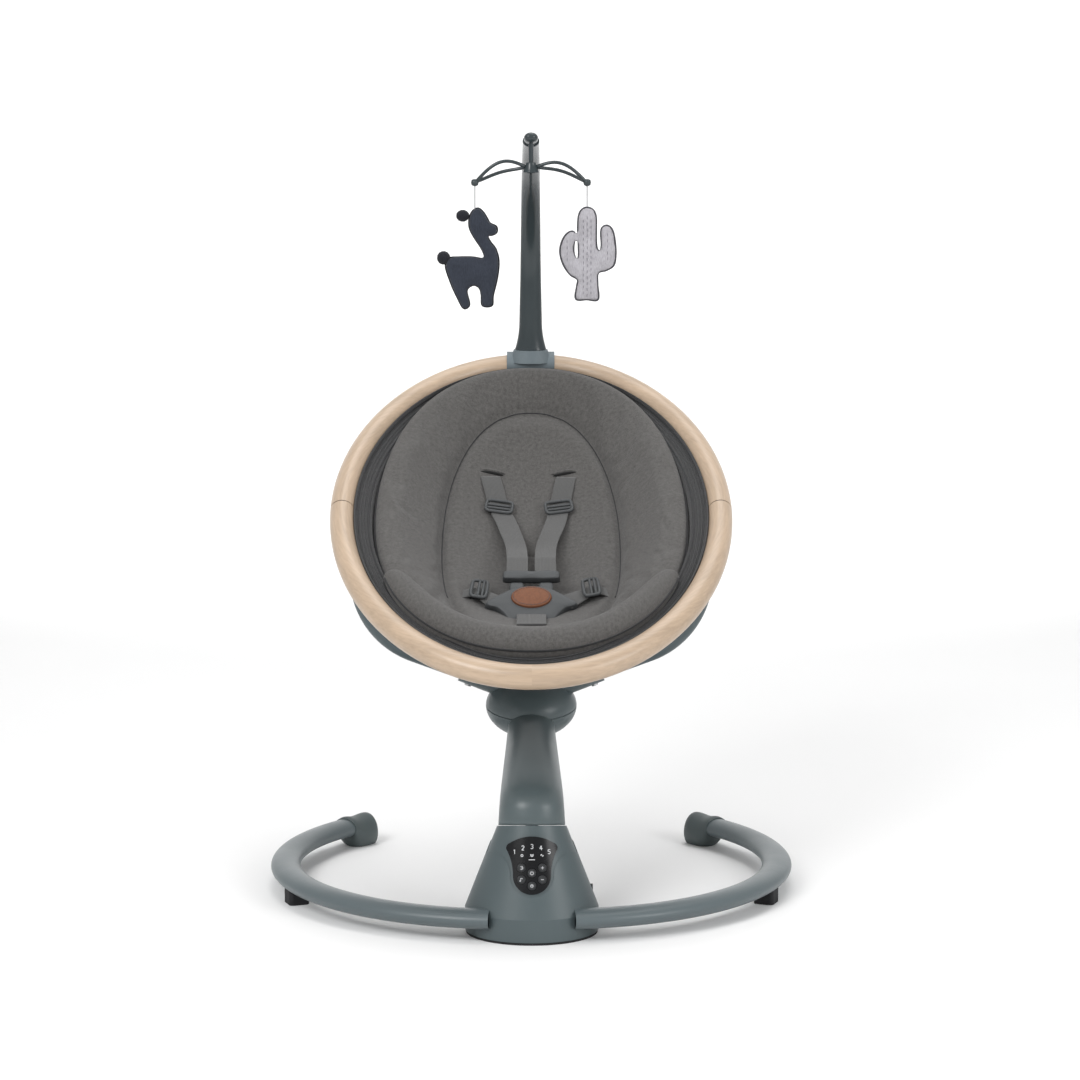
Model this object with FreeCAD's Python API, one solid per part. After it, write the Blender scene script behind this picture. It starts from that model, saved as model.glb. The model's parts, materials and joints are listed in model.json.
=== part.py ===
"""Baby swing: a floor swing with a leaning axle, an oval wooden seat ring and a toy bar.

Millimetres. +Z is up, +X is to the right of someone who faces the keypad, and the keypad faces -Y.
The origin is on the floor, in the middle of the housing's sole.
"""
import FreeCAD, Part
import math
import os

V = FreeCAD.Vector
X_AXIS = V(1, 0, 0)
Y_AXIS = V(0, 1, 0)
Z_AXIS = V(0, 0, 1)

# ---- Driving dimensions, mm and degrees ----
# Clearances
loose_gap = 0.3  # between bodies that move past each other
running_gap = 0.05  # radial, pins and shafts in their bores
swing_gap = 1.2  # between the housing's top and the arm's lower end

# Swing axle
axle_lean = 13.5  # the axle leans back from the vertical
split_height = 120.0  # where the axle leaves the housing
axle_radius = 7.0
axle_depth = 96.0  # length of axle inside the housing
bearing_radius = 15.0
bearing_width = 9.0

# Housing
sole_thickness = 3.0
plinth_top = 18.0
cone_foot_height = 28.5
housing_half_width = 75.0
housing_half_depth = 66.0
neck_half_width = 39.6
neck_half_depth = 34.0
housing_wall = 2.5
shoulder_height = 102.0
shoulder_step = 0.8

# Keypad
keypad_height = 55.5  # of its lower end above the floor
keypad_length = 64.0
keypad_half_top = 28.3
keypad_half_bottom = 21.0
keypad_proud = 1.0
keypad_margin = 3.0  # of the tongue round it
button_radius = 4.6
button_length = 7.5
button_proud = 1.0

# Floor legs
leg_width = 35.0
leg_height = 22.0
leg_wall = 1.6
leg_centre_height = 25.0
leg_front = -47.0  # Y of the legs' centreline at the housing
leg_front_radius = 450.0
leg_side_radius = 270.0
leg_half_span = 292.5  # of the centrelines at their widest
leg_end_angle = 39.0  # where the tube meets its end cap, from +X
leg_inset = 47.0  # X of the tube's end inside the housing
cap_length = 44.0
cap_sole_cut = 4.0  # how far the cap's round underside is cut flat
foot_angle = -22.0
foot_length = 26.0
foot_width = 24.0

# Arm and hub
arm_half_width = 37.4
arm_half_width_hub = 27.5
arm_half_depth = 32.0
arm_half_depth_hub = 22.0
arm_stub = 16.0  # straight stretch along the axle
arm_bend_radius = 34.0
arm_slope = 5.5  # of the stretch to the hub
arm_wall = 2.5
hub_y = 237.0
hub_height = 212.0
hub_radius = 54.0
hub_depth = 37.0
hub_rise = 34.0
hub_tilt = 10.0  # the hub's seam falls to the front
hub_wall = 3.0
hub_seam = 1.2  # width and depth of the groove between the hub's halves

# Yoke
yoke_width = 26.0
yoke_thickness = 22.0
yoke_wall = 1.8
yoke_slope = 20.0
yoke_bend_radius = 95.0
yoke_bend_x = 140.0  # where the bend starts
yoke_start_height = 231.0  # of the centreline at the hub's cross tube
yoke_start_x = 14.0
yoke_end_slope = 80.0
socket_end_x = 82.0
socket_wall = 2.5
snap_radius = 4.0
snap_x = 70.0
snap_proud = 1.6

# Recline pivot
pivot_y = 246.0
pivot_height = 406.5
pivot_radius = 23.5
pivot_inner_x = 198.0
pivot_outer_x = 229.0
pin_radius = 6.0
recline_cap_radius = 18.0
recline_cap_length = 6.0
recline_cap_proud = 2.0
recline_travel = 4.0
bracket_thickness = 7.0
bracket_radius = 19.0

# Seat ring
ring_tube_radius = 14.0
ring_half_length = 316.0
ring_half_width = 223.0
ring_incline = 28.3
ring_y = 236.5
ring_height = 446.0
ring_seam = 1.6
joiner_inset = 0.6  # the joiner's disc lies this far inside the tube's surface
joiner_radius = 6.0
joiner_length = 50.0

# Seat bucket and pad, in the ring's own plane: u up the slope, x across, w square to it
bucket_half_length = 299.0
bucket_half_width = 190.0
bucket_depth = 104.0
bucket_wall = 2.5
pad_gap = 0.5
rim_gap = 1.0  # between the liner's band and the ring
band_height = 3.5
band_gap = 0.1  # between the liner's band and the bucket
pad_rise = 12.0
hollow_half_length = 250.0
hollow_half_width = 160.0
hollow_depth = 80.0
hollow_rise = 10.0

# Harness
strap_width = 25.0
buckle_lean = 26.0  # the buckle's face, turned up from the pad
buckle_foot = 27.0
bridge_reach = 38.0
buckle_half_wide = 24.0
buckle_half_high = 15.5
strap_thickness = 2.5
strap_lift = 2.0  # of a strap's middle above the pad

# Toy bar
bar_flare_height = 34.0
bar_spigot_radius = 6.5
bar_half_width = 14.5
bar_half_thickness = 13.0
bar_tip_half_width = 9.5
bar_tip_half_thickness = 7.0
bar_foot_y = 507.0
bar_foot_height = 616.0
bar_straight = 88.0
bar_heading = 93.5
bar_bend_radius = 155.0
bar_bend_end = 157.0
bar_top_radius = 725.0
bar_end_heading = 167.5
bar_seam_share = 0.2  # share of the bend that belongs to the lower tube
bar_spigot = 34.0
bar_tip_length = 26.0

# Toys
post_radius = 3.0
post_length = 31.0
hanger_half_span = 69.0
hanger_hub_radius = 10.0
hanger_hub_height = 11.7
hanger_drop = 17.0
hanger_strand = 2.3
hanger_loop_half = 6.5
string_radius = 0.9
string_length = 31.5
string_gap = 0.8  # below the loop's end, so a swinging string's top stays clear of it
llama_height = 116.0
llama_width = 74.0
cactus_height = 110.0
cactus_width = 67.0
toy_thickness = 26.0

# ---- Derived places ----
LEAN = math.radians(axle_lean)
INCLINE = math.radians(ring_incline)
AXLE = V(0, math.sin(LEAN), math.cos(LEAN))
AXLE_OUT = V(0, math.cos(LEAN), -math.sin(LEAN))
SPLIT = V(0, 0, split_height)
RING_CENTRE = V(0, ring_y, ring_height)
SLOPE_UP = V(0, math.cos(INCLINE), math.sin(INCLINE))
SLOPE_OUT = V(0, -math.sin(INCLINE), math.cos(INCLINE))
NODES = {}


def keep(name, shape):
    """Stores one sub-part under its node name, and hands the shape back."""
    NODES[name] = shape
    return shape


def side_name(side):
    """The word for a side: -1 is left and +1 is right of someone facing the keypad."""
    return "left" if side < 0 else "right"


def mirrored(shape):
    """The shape reflected in the plane x = 0."""
    return shape.mirror(V(0, 0, 0), X_AXIS)


def on_side(shape, side):
    """A shape drawn on the right, or its mirror image for the left."""
    return shape if side > 0 else mirrored(shape)


def section(centre, across, along, half_across, half_up):
    """An ellipse square to `along`, with the half widths across and up."""
    up = along.cross(across)
    matrix = FreeCAD.Matrix(
        across.x * half_across, up.x * half_up, along.x, centre.x,
        across.y * half_across, up.y * half_up, along.y, centre.y,
        across.z * half_across, up.z * half_up, along.z, centre.z,
        0, 0, 0, 1,
    )
    circle = Part.Circle(V(0, 0, 0), Z_AXIS, 1).toShape()
    return Part.Wire(circle.transformGeometry(matrix).Edges)


def loft(wires, ruled=False):
    """A solid through closed wires."""
    return Part.makeLoft(wires, True, ruled)


def rod(start, end, radius):
    """A round bar between two points."""
    line = end.sub(start)
    return Part.makeCylinder(radius, line.Length, start, line)


def half_ellipsoid(half_x, half_y, half_z, tilt, centre):
    """Half an ellipsoid turned by `tilt` degrees about X: below its flat face, or above it when
    half_z is negative."""
    ball = Part.makeSphere(1.0, V(0, 0, 0), Z_AXIS, -90, 0, 360)
    if half_z < 0:
        ball = Part.makeSphere(1.0, V(0, 0, 0), Z_AXIS, 0, 90, 360)
        half_z = -half_z
    turn = FreeCAD.Rotation(X_AXIS, tilt)
    x_dir, y_dir, z_dir = (turn.multVec(axis) for axis in (X_AXIS, Y_AXIS, Z_AXIS))
    matrix = FreeCAD.Matrix(
        x_dir.x * half_x, y_dir.x * half_y, z_dir.x * half_z, centre.x,
        x_dir.y * half_x, y_dir.y * half_y, z_dir.y * half_z, centre.y,
        x_dir.z * half_x, y_dir.z * half_y, z_dir.z * half_z, centre.z,
        0, 0, 0, 1,
    )
    return ball.transformGeometry(matrix)


def slab(point, normal, thickness, half_size=900.0):
    """A wide flat block that starts at a plane and reaches `thickness` along its normal."""
    block = Part.makeBox(2 * half_size, 2 * half_size, thickness, V(-half_size, -half_size, 0))
    turn = FreeCAD.Rotation(Z_AXIS, normal)
    block.Placement = FreeCAD.Placement(point, turn)
    return block


def on_axle(along, out=0.0, across=0.0):
    """A point in the axle's frame: along it from the split, out to the back, and across."""
    return SPLIT + AXLE * along + AXLE_OUT * out + X_AXIS * across


# ---- Housing ----
def housing_ellipse(height, inset=0.0):
    """The housing's outline at a height of its straight cone, square to Z."""
    share = (height - cone_foot_height) / (split_height - cone_foot_height)
    half_x = housing_half_width + (neck_half_width - housing_half_width) * share
    half_y = housing_half_depth + (neck_half_depth - housing_half_depth) * share
    return section(V(0, 0, height), X_AXIS, Z_AXIS, half_x - inset, half_y - inset)


def housing_cone(inset, foot, top_inset=0.0):
    """The cone of the housing from a foot height up to the sloping split plane."""
    over = split_height + neck_half_depth
    body = loft([housing_ellipse(cone_foot_height, inset), housing_ellipse(over, inset)], True)
    if foot < cone_foot_height:
        low = loft([housing_ellipse(cone_foot_height, inset),
                    section(V(0, 0, foot), X_AXIS, Z_AXIS,
                            housing_half_width - inset, housing_half_depth - inset)], True)
        body = body.fuse(low)
    top = on_axle(-top_inset)
    return body.cut(slab(top, AXLE, 3 * split_height)).removeSplitter()


def front_frame():
    """Foot point and directions of the keypad's plane, which lies on the cone's front."""
    rise = split_height - cone_foot_height
    run = housing_half_depth - neck_half_depth
    angle = math.atan2(run, rise)
    foot_y = -housing_half_depth + run * (keypad_height - cone_foot_height) / rise
    up = V(0, math.sin(angle), math.cos(angle))
    out = V(0, -math.cos(angle), math.sin(angle))
    return V(0, foot_y, keypad_height), up, out


def front_point(x, s, out_by=0.0):
    """A point on the keypad's plane, x across and s up the slope."""
    foot, up, out = front_frame()
    return foot + X_AXIS * x + up * s + out * out_by


def front_prism(points, arcs, back, front):
    """A prism square to the keypad's plane. `arcs` names the points that are middles of arcs."""
    edges = []
    i = 0
    count = len(points)
    while i < count:
        here = front_point(*points[i], -back)
        if (i + 1) % count in arcs:
            middle = front_point(*points[(i + 1) % count], -back)
            last = front_point(*points[(i + 2) % count], -back)
            edges.append(Part.Arc(here, middle, last).toShape())
            i += 2
        else:
            last = front_point(*points[(i + 1) % count], -back)
            edges.append(Part.LineSegment(here, last).toShape())
            i += 1
    face = Part.Face(Part.Wire(edges))
    return face.extrude(front_frame()[2] * (back + front))


def keypad_outline(margin):
    """Prism of the keypad's outline, wider by a margin: arched top, narrow round foot."""
    top = keypad_length + margin
    wide = keypad_half_top + margin
    low = keypad_half_bottom + margin
    shoulder = keypad_length - 13.0
    waist = keypad_half_bottom
    points = [
        (-low, waist), (-(low + 1.6), waist + 15), (-wide, shoulder),
        (-wide + 0.6, shoulder + 4), (-wide + 4, shoulder + 6.5 + margin / 2),
        (0, top), (wide - 4, shoulder + 6.5 + margin / 2),
        (wide - 0.6, shoulder + 4), (wide, shoulder),
        (low + 1.6, waist + 15), (low, waist), (0, -margin),
    ]
    return front_prism(points, (1, 3, 5, 7, 9, 11), 14.0, 20.0)


def tongue_prism():
    """Prism of the neck's tongue: from the shoulders it narrows round the keypad."""
    low = keypad_half_bottom + keypad_margin
    shoulder = (shoulder_height - keypad_height) / math.cos(math.atan2(
        housing_half_depth - neck_half_depth, split_height - cone_foot_height))
    wide = neck_half_width + 12.0
    points = [
        (-low, keypad_half_bottom), (-low - 3.2, shoulder - 14), (-wide, shoulder + 1),
        (-wide, shoulder + 60), (wide, shoulder + 60), (wide, shoulder + 1),
        (low + 3.2, shoulder - 14), (low, keypad_half_bottom), (0, -keypad_margin),
    ]
    return front_prism(points, (1, 6, 8), 40.0, 30.0)


def housing_parts():
    """Sole, plinth, housing shell, keypad neck, keypad panel and its six buttons."""
    flat = [section(V(0, 0, z), X_AXIS, Z_AXIS, housing_half_width - 1.0, housing_half_depth - 1.0)
            for z in (0, sole_thickness)]
    keep("base_sole", loft(flat, True))
    outer = [section(V(0, 0, z), X_AXIS, Z_AXIS, housing_half_width, housing_half_depth)
             for z in (sole_thickness, plinth_top)]
    inner = [section(V(0, 0, z), X_AXIS, Z_AXIS, housing_half_width - housing_wall,
                     housing_half_depth - housing_wall)
             for z in (sole_thickness + housing_wall, plinth_top + 1)]
    plinth = loft(outer, True).cut(loft(inner, True))

    cone = housing_cone(0.0, plinth_top)
    cavity = housing_cone(housing_wall, plinth_top - 1.0, housing_wall)
    neck_zone = tongue_prism().cut(slab(V(0, 5, 0), Y_AXIS, 300))
    neck_zone = neck_zone.fuse(slab(V(0, 0, shoulder_height), Z_AXIS, 200, 200))
    shell = cone.cut(cavity).cut(neck_zone)
    neck_skin = housing_cone(shoulder_step, plinth_top).cut(cavity)
    neck = neck_skin.common(neck_zone)
    boss = rod(on_axle(-housing_wall - bearing_width - 1), on_axle(-0.6), bearing_radius + 4)
    bore = rod(on_axle(-housing_wall - bearing_width - 2), on_axle(-housing_wall + 0.1),
               bearing_radius)
    neck = neck.fuse(boss).cut(bore).cut(rod(on_axle(-60), on_axle(20), axle_radius + 1.0))

    pane = housing_cone(-keypad_proud, plinth_top).cut(housing_cone(1.6, plinth_top))
    pane = pane.common(keypad_outline(0.0))
    neck = neck.cut(pane)
    for index, place in enumerate(button_places()):
        hole = rod(front_point(*place, -12), front_point(*place, 12), button_radius + loose_gap)
        pane = pane.cut(hole)
        neck = neck.cut(hole)
        shell = shell.cut(hole)
        keep(f"keypad_button_{index + 1}", keypad_button(place))
    for side in (-1, 1):
        path = on_side(leg_solid(0.0), side)
        plinth = plinth.cut(path)
        shell = shell.cut(path)
    inlet = power_inlet()
    shell = shell.cut(inlet)
    keep("housing_plinth", plinth)
    keep("housing_shell", shell)
    keep("keypad_neck", neck)
    keep("keypad_panel", pane)
    keep("power_inlet", inlet.cut(power_socket()))


def button_places():
    """Places of the six buttons on the keypad's plane: two, one, two, one."""
    pitch = 11.6
    return [(-pitch, 29.5), (pitch, 29.5), (0, 23.5), (-pitch, 16.5), (pitch, 16.5), (0, 9.5)]


def cone_bulge(x, height):
    """How far the keypad's plane stands in front of the cone at x, measured along Y."""
    share = (height - cone_foot_height) / (split_height - cone_foot_height)
    half_x = housing_half_width + (neck_half_width - housing_half_width) * share
    half_y = housing_half_depth + (neck_half_depth - housing_half_depth) * share
    return half_y * (1 - math.sqrt(1 - (x / half_x) ** 2))


def keypad_button(place):
    """A round button with a slightly domed face, flush with the panel where it stands."""
    x, s = place
    sink = cone_bulge(x, keypad_height + s)
    face = keypad_proud + button_proud - sink
    cap = rod(front_point(x, s, face - button_length), front_point(x, s, face), button_radius)
    rim = [edge for edge in cap.Edges if edge.Length > 2 * button_radius]
    top = max(rim, key=lambda edge: edge.CenterOfMass.dot(front_frame()[2]))
    return cap.makeFillet(0.7, [top])


def power_inlet():
    """The barrel inlet on the right of the housing."""
    return rod(V(50, 10, 46), V(68.5, 10, 46), 5.0)


def power_socket():
    """The hole in the barrel inlet."""
    return rod(V(58, 10, 46), V(70, 10, 46), 2.6)


# ---- Floor legs ----
def leg_geometry():
    """Centres of the front and side arcs, and the angle where they meet."""
    turn = math.asin((leg_half_span - leg_side_radius) / (leg_front_radius - leg_side_radius))
    front = V(0, leg_front + leg_front_radius, leg_centre_height)
    reach = leg_front_radius - leg_side_radius
    side = front + V(reach * math.sin(turn), -reach * math.cos(turn), 0)
    return front, side, turn


def leg_station(angle):
    """Point and heading on the right leg's centreline. Angle 0 points at +X, -90 at the front."""
    front, side, turn = leg_geometry()
    centre, radius = side, leg_side_radius
    if angle < math.degrees(turn) - 90:
        centre, radius = front, leg_front_radius
    a = math.radians(angle)
    return centre + V(math.cos(a), math.sin(a), 0) * radius, V(-math.sin(a), math.cos(a), 0)


def leg_solid(wall):
    """The right leg tube's outer solid, or its inner space when a wall is given."""
    _, _, turn = leg_geometry()
    start = math.degrees(math.asin(leg_inset / leg_front_radius)) - 90
    joint = math.degrees(turn) - 90
    over = 1.0 if wall else 0.0
    wires = [leg_wire(start - over / 5, wall), leg_wire((start + joint) / 2, wall),
             leg_wire(joint, wall)]
    near = loft(wires)
    count = 8
    angles = [joint + (leg_end_angle - joint) * i / count for i in range(count + 1)]
    if wall:
        angles[-1] += over / 5
    far = loft([leg_wire(angle, wall) for angle in angles])
    return near.fuse(far).removeSplitter()


def leg_wire(angle, wall):
    """The oval of the leg tube at an angle."""
    point, heading = leg_station(angle)
    across = heading.cross(Z_AXIS)
    return section(point, across, heading, leg_width / 2 - wall, leg_height / 2 - wall)


def leg_parts():
    """Tubes, end caps and rubber feet of both legs."""
    tube = leg_solid(0.0).cut(leg_solid(leg_wall))
    degrees = math.degrees(cap_length / leg_side_radius)
    shares = (0.0, 0.3, 0.62, 0.88, 1.0)
    widths = (0.0, 2.6, 3.2, 0.5, -5.0)
    wires = []
    for share, grow in zip(shares, widths):
        point, heading = leg_station(leg_end_angle + degrees * share)
        top = leg_centre_height + leg_height / 2 + 1.0 + 1.6 * share - 9.0 * max(share - 0.88, 0) / 0.12
        bottom = max(-cap_sole_cut, leg_centre_height - leg_height / 2 - 55.0 * share)
        middle = V(point.x, point.y, (top + bottom) / 2)
        wires.append(section(middle, heading.cross(Z_AXIS), heading,
                             leg_width / 2 + 1.0 + grow, (top - bottom) / 2))
    cap = loft(wires)
    plug = loft([leg_wire(leg_end_angle - 3.0, leg_wall + 0.2), leg_wire(leg_end_angle, leg_wall + 0.2)])
    cap = cap.cut(slab(V(0, 0, 0), V(0, 0, -1), 30)).fuse(plug)
    point, heading = leg_station(foot_angle)
    turn = math.degrees(math.atan2(heading.y, heading.x))
    foot = Part.makeBox(foot_length, foot_width, leg_centre_height,
                        V(-foot_length / 2, -foot_width / 2, 0))
    uprights = [edge for edge in foot.Edges if abs(edge.tangentAt(edge.FirstParameter).z) > 0.9]
    foot = foot.makeFillet(5.0, uprights)
    foot.rotate(V(0, 0, 0), Z_AXIS, turn)
    foot.translate(V(point.x, point.y, 0))
    foot = foot.cut(leg_solid(0.0))
    foot = min(foot.Solids, key=lambda solid: solid.CenterOfMass.z)
    for side in (-1, 1):
        name = side_name(side)
        keep(f"leg_tube_{name}", on_side(tube, side))
        keep(f"leg_cap_{name}", on_side(cap, side))
        keep(f"leg_foot_{name}", on_side(foot, side))


# ---- Inside the housing ----
def inner_parts():
    """Pedestal, bearings, drive coil, control board and speaker."""
    floor = sole_thickness + housing_wall
    lower_top = -axle_depth + bearing_width + 2
    pedestal = rod(on_axle(-axle_depth - 40), on_axle(lower_top), bearing_radius + 4)
    coil_out = 32.0
    coil_top = -54.0
    post = rod(on_axle(coil_top - 60, coil_out), on_axle(coil_top - 12, coil_out), 8.0)
    flange = loft([section(V(0, -12, z), X_AXIS, Z_AXIS, 54, 42) for z in (floor, floor + 4)], True)
    pedestal = pedestal.fuse(flange).fuse(post)
    pedestal = pedestal.cut(slab(V(0, 0, floor), V(0, 0, -1), 200, 300))
    pedestal = pedestal.cut(rod(on_axle(-axle_depth - 1), on_axle(0), bearing_radius))
    for side in (-1, 1):
        pedestal = pedestal.cut(on_side(leg_solid(0.0), side))
    keep("bearing_pedestal", pedestal)
    rings = []
    for start in (-axle_depth - 1, -housing_wall - bearing_width):
        ring = rod(on_axle(start), on_axle(start + bearing_width), bearing_radius)
        bore = rod(on_axle(start - 1), on_axle(start + bearing_width + 1), axle_radius + running_gap)
        rings.append(ring.cut(bore))
    keep("axle_bearings", Part.Compound(rings))
    coil = rod(on_axle(coil_top - 12, coil_out), on_axle(coil_top, coil_out), 17.0)
    core = rod(on_axle(coil_top - 10, coil_out), on_axle(coil_top + 1, coil_out), 6.0)
    keep("drive_coil", coil.cut(core))
    magnet_low = coil_top + 3.0
    lever = rod(on_axle(magnet_low, 0), on_axle(magnet_low + 12, 0), axle_radius + 4)
    block = rod(on_axle(magnet_low, coil_out), on_axle(magnet_low + 12, coil_out), 10.0)
    web = Part.makeBox(10, coil_out, 12, V(-5, 0, 0))
    web.Placement = FreeCAD.Placement(on_axle(magnet_low), FreeCAD.Rotation(X_AXIS, -axle_lean))
    magnet = lever.fuse([block, web]).cut(rod(on_axle(-90), on_axle(0), axle_radius))
    keep("drive_magnet", magnet)
    board = Part.makeBox(46, 44, 1.6, V(-23, 0, 0))
    _, up, out = front_frame()
    turn = FreeCAD.Rotation(X_AXIS, up, out, "XYZ")
    board.Placement = FreeCAD.Placement(front_point(0, -2, -17.0), turn)
    keep("control_board", board)
    speaker = Part.makeCylinder(16, 14, V(38, 22, floor))
    keep("speaker", speaker.cut(pedestal))


# ---- Arm and hub ----
def arm_solid(inset, start):
    """The arm's solid: along the axle from `start`, round the bend, and back to the hub."""
    first = math.pi / 2 - LEAN
    last = math.radians(arm_slope)
    foot = on_axle(arm_stub)
    end_y = hub_y - 22

    def wire(point, heading, share):
        across = arm_half_width + (arm_half_width_hub - arm_half_width) * share
        up = arm_half_depth + (arm_half_depth_hub - arm_half_depth) * min(1.0, share * 1.6)
        along = V(0, math.cos(heading), math.sin(heading))
        return section(point, X_AXIS, along, across - inset, up - inset)

    bend = []
    count = 6
    for i in range(count + 1):
        heading = first + (last - first) * i / count
        shift = V(0, math.sin(first) - math.sin(heading), math.cos(heading) - math.cos(first))
        bend.append((foot + shift * arm_bend_radius, heading, 0.12 + 0.28 * i / count))
    out = bend[-1][0]
    run = end_y - out.y
    end = out + V(0, run, run * math.tan(last))
    stub = loft([wire(on_axle(start), first, 0.0), wire(foot, first, 0.12)], True)
    tail = loft([wire(out, last, 0.4), wire(end, last, 1.0)], True)
    return stub.fuse([loft([wire(*row) for row in bend]), tail]).removeSplitter()


def hub_frame():
    """Centre and axis of the hub."""
    tilt = math.radians(hub_tilt)
    return V(0, hub_y, hub_height), V(0, -math.sin(tilt), math.cos(tilt))


def arm_parts():
    """Axle with its spine, arm shell, hub bowl and hub cover."""
    centre, axis = hub_frame()
    outer = arm_solid(0.0, swing_gap)
    inner = arm_solid(arm_wall, swing_gap + arm_wall)
    thin = hub_radius - hub_wall
    bowl_outer = half_ellipsoid(hub_radius, hub_radius, hub_depth, hub_tilt, centre)
    groove = rod(centre - axis * (hub_seam / 2), centre + axis * (hub_seam / 2), hub_radius + 5)
    groove = groove.cut(rod(centre - axis * 5, centre + axis * 5, hub_radius - hub_seam))
    bowl = bowl_outer.cut(half_ellipsoid(thin, thin, hub_depth - hub_wall, hub_tilt, centre))
    bowl = bowl.cut(groove)
    arm = outer.cut(inner).cut(bowl_outer)
    arm = arm.cut(rod(on_axle(0), on_axle(10), axle_radius))
    arm = max(arm.Solids, key=lambda solid: solid.Volume)

    elbow = V(0, 14, split_height + 38)
    hub_foot = centre + V(0, -8, -hub_depth * 0.72)
    axle = rod(on_axle(-axle_depth), on_axle(26), axle_radius)
    link = rod(on_axle(24), elbow, axle_radius)
    spine = rod(elbow, hub_foot, 9.0)
    riser = rod(hub_foot, centre + V(0, 0, 19), 9.0)
    knuckles = [Part.makeSphere(9.0, elbow), Part.makeSphere(9.0, hub_foot)]
    cross = Part.makeCylinder(yoke_width / 2 + 3, 60, V(-30, hub_y, yoke_start_height), X_AXIS)
    steel = axle.fuse([link, spine, riser, cross] + knuckles)
    for side in (-1, 1):
        steel = steel.cut(on_side(yoke_solid(0.0), side))
    steel = max(steel.Solids, key=lambda solid: solid.Volume)
    keep("swing_axle", steel)
    keep("arm_shell", arm.cut(steel))
    keep("hub_bowl", bowl.cut(steel))

    cover = half_ellipsoid(hub_radius, hub_radius, -hub_rise, hub_tilt, centre)
    room = half_ellipsoid(thin, thin, -(hub_rise - hub_wall), hub_tilt, centre)
    for side in (-1, 1):
        cover = cover.fuse(on_side(socket_solid(), side))
    cover = cover.cut([room, groove]).cut(slab(centre, axis * -1, 200, 200))
    for side in (-1, 1):
        cover = cover.cut(on_side(yoke_solid(0.0), side))
        cover = cover.cut(on_side(snap_pin(loose_gap, 12.0), side))
    cover = max(cover.Solids, key=lambda solid: solid.Volume)
    keep("hub_cover", cover.cut(steel))


# ---- Yoke ----
def yoke_path():
    """Corner points and arc values of the right yoke's centreline in the XZ plane."""
    start = (yoke_start_x, yoke_start_height)
    slope = math.radians(yoke_slope)
    end_slope = math.radians(yoke_end_slope)
    bend_z = yoke_start_height + (yoke_bend_x - yoke_start_x) * math.tan(slope)
    arc_x = yoke_bend_x + yoke_bend_radius * (math.sin(end_slope) - math.sin(slope))
    arc_z = bend_z + yoke_bend_radius * (math.cos(slope) - math.cos(end_slope))
    top_z = pivot_height - pivot_radius * 0.6
    top_x = arc_x + (top_z - arc_z) / math.tan(end_slope)
    return start, (yoke_bend_x, bend_z), (arc_x, arc_z), (top_x, top_z)


def yoke_y(z):
    """The yoke leans back a little, from the hub's middle to the pivots."""
    share = (z - yoke_start_height) / (pivot_height - yoke_start_height)
    return hub_y + (pivot_y - hub_y) * share


def yoke_wire(x, z, angle, grow):
    """The yoke's oval at a point, square to a heading in the XZ plane."""
    a = math.radians(angle)
    along = V(math.cos(a), 0, math.sin(a))
    return section(V(x, yoke_y(z), z), Y_AXIS, along, yoke_thickness / 2 + grow,
                   yoke_width / 2 + grow)


def yoke_solid(wall):
    """The right yoke tube's outer solid, or its inner space when a wall is given."""
    start, bend, arc_end, top = yoke_path()
    over = 1.0 if wall else 0.0
    first = loft([yoke_wire(start[0] - over, start[1], yoke_slope, -wall),
                  yoke_wire(bend[0], bend[1], yoke_slope, -wall)])
    wires = []
    count = 6
    for i in range(count + 1):
        angle = yoke_slope + (yoke_end_slope - yoke_slope) * i / count
        a, a0 = math.radians(angle), math.radians(yoke_slope)
        x = bend[0] + yoke_bend_radius * (math.sin(a) - math.sin(a0))
        z = bend[1] + yoke_bend_radius * (math.cos(a0) - math.cos(a))
        wires.append(yoke_wire(x, z, angle, -wall))
    last = loft([yoke_wire(arc_end[0], arc_end[1], yoke_end_slope, -wall),
                 yoke_wire(top[0], top[1] + over, yoke_end_slope, -wall)])
    return first.fuse([loft(wires), last]).removeSplitter()


def socket_solid():
    """The right socket of the hub cover, a sleeve over the yoke's first stretch."""
    start = yoke_path()[0]
    slope = math.radians(yoke_slope)
    rows = []
    for x, grow in ((20.0, 4.0), (socket_end_x - 22, socket_wall + 0.7), (socket_end_x, socket_wall)):
        rows.append(yoke_wire(x, start[1] + (x - start[0]) * math.tan(slope), yoke_slope, grow))
    return loft(rows, True)


def snap_frame():
    """Place and outward direction of the right snap button, under the socket."""
    slope = math.radians(yoke_slope)
    z = yoke_start_height + (snap_x - yoke_start_x) * math.tan(slope)
    down = V(math.sin(slope), 0, -math.cos(slope))
    return V(snap_x, yoke_y(z), z), down


def snap_pin(grow, extra):
    """The snap button, or the hole that it needs."""
    centre, down = snap_frame()
    length = yoke_width / 2 + socket_wall + snap_proud
    start = centre + down * 2.0
    return rod(start, centre + down * (length + extra), snap_radius + grow)


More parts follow.
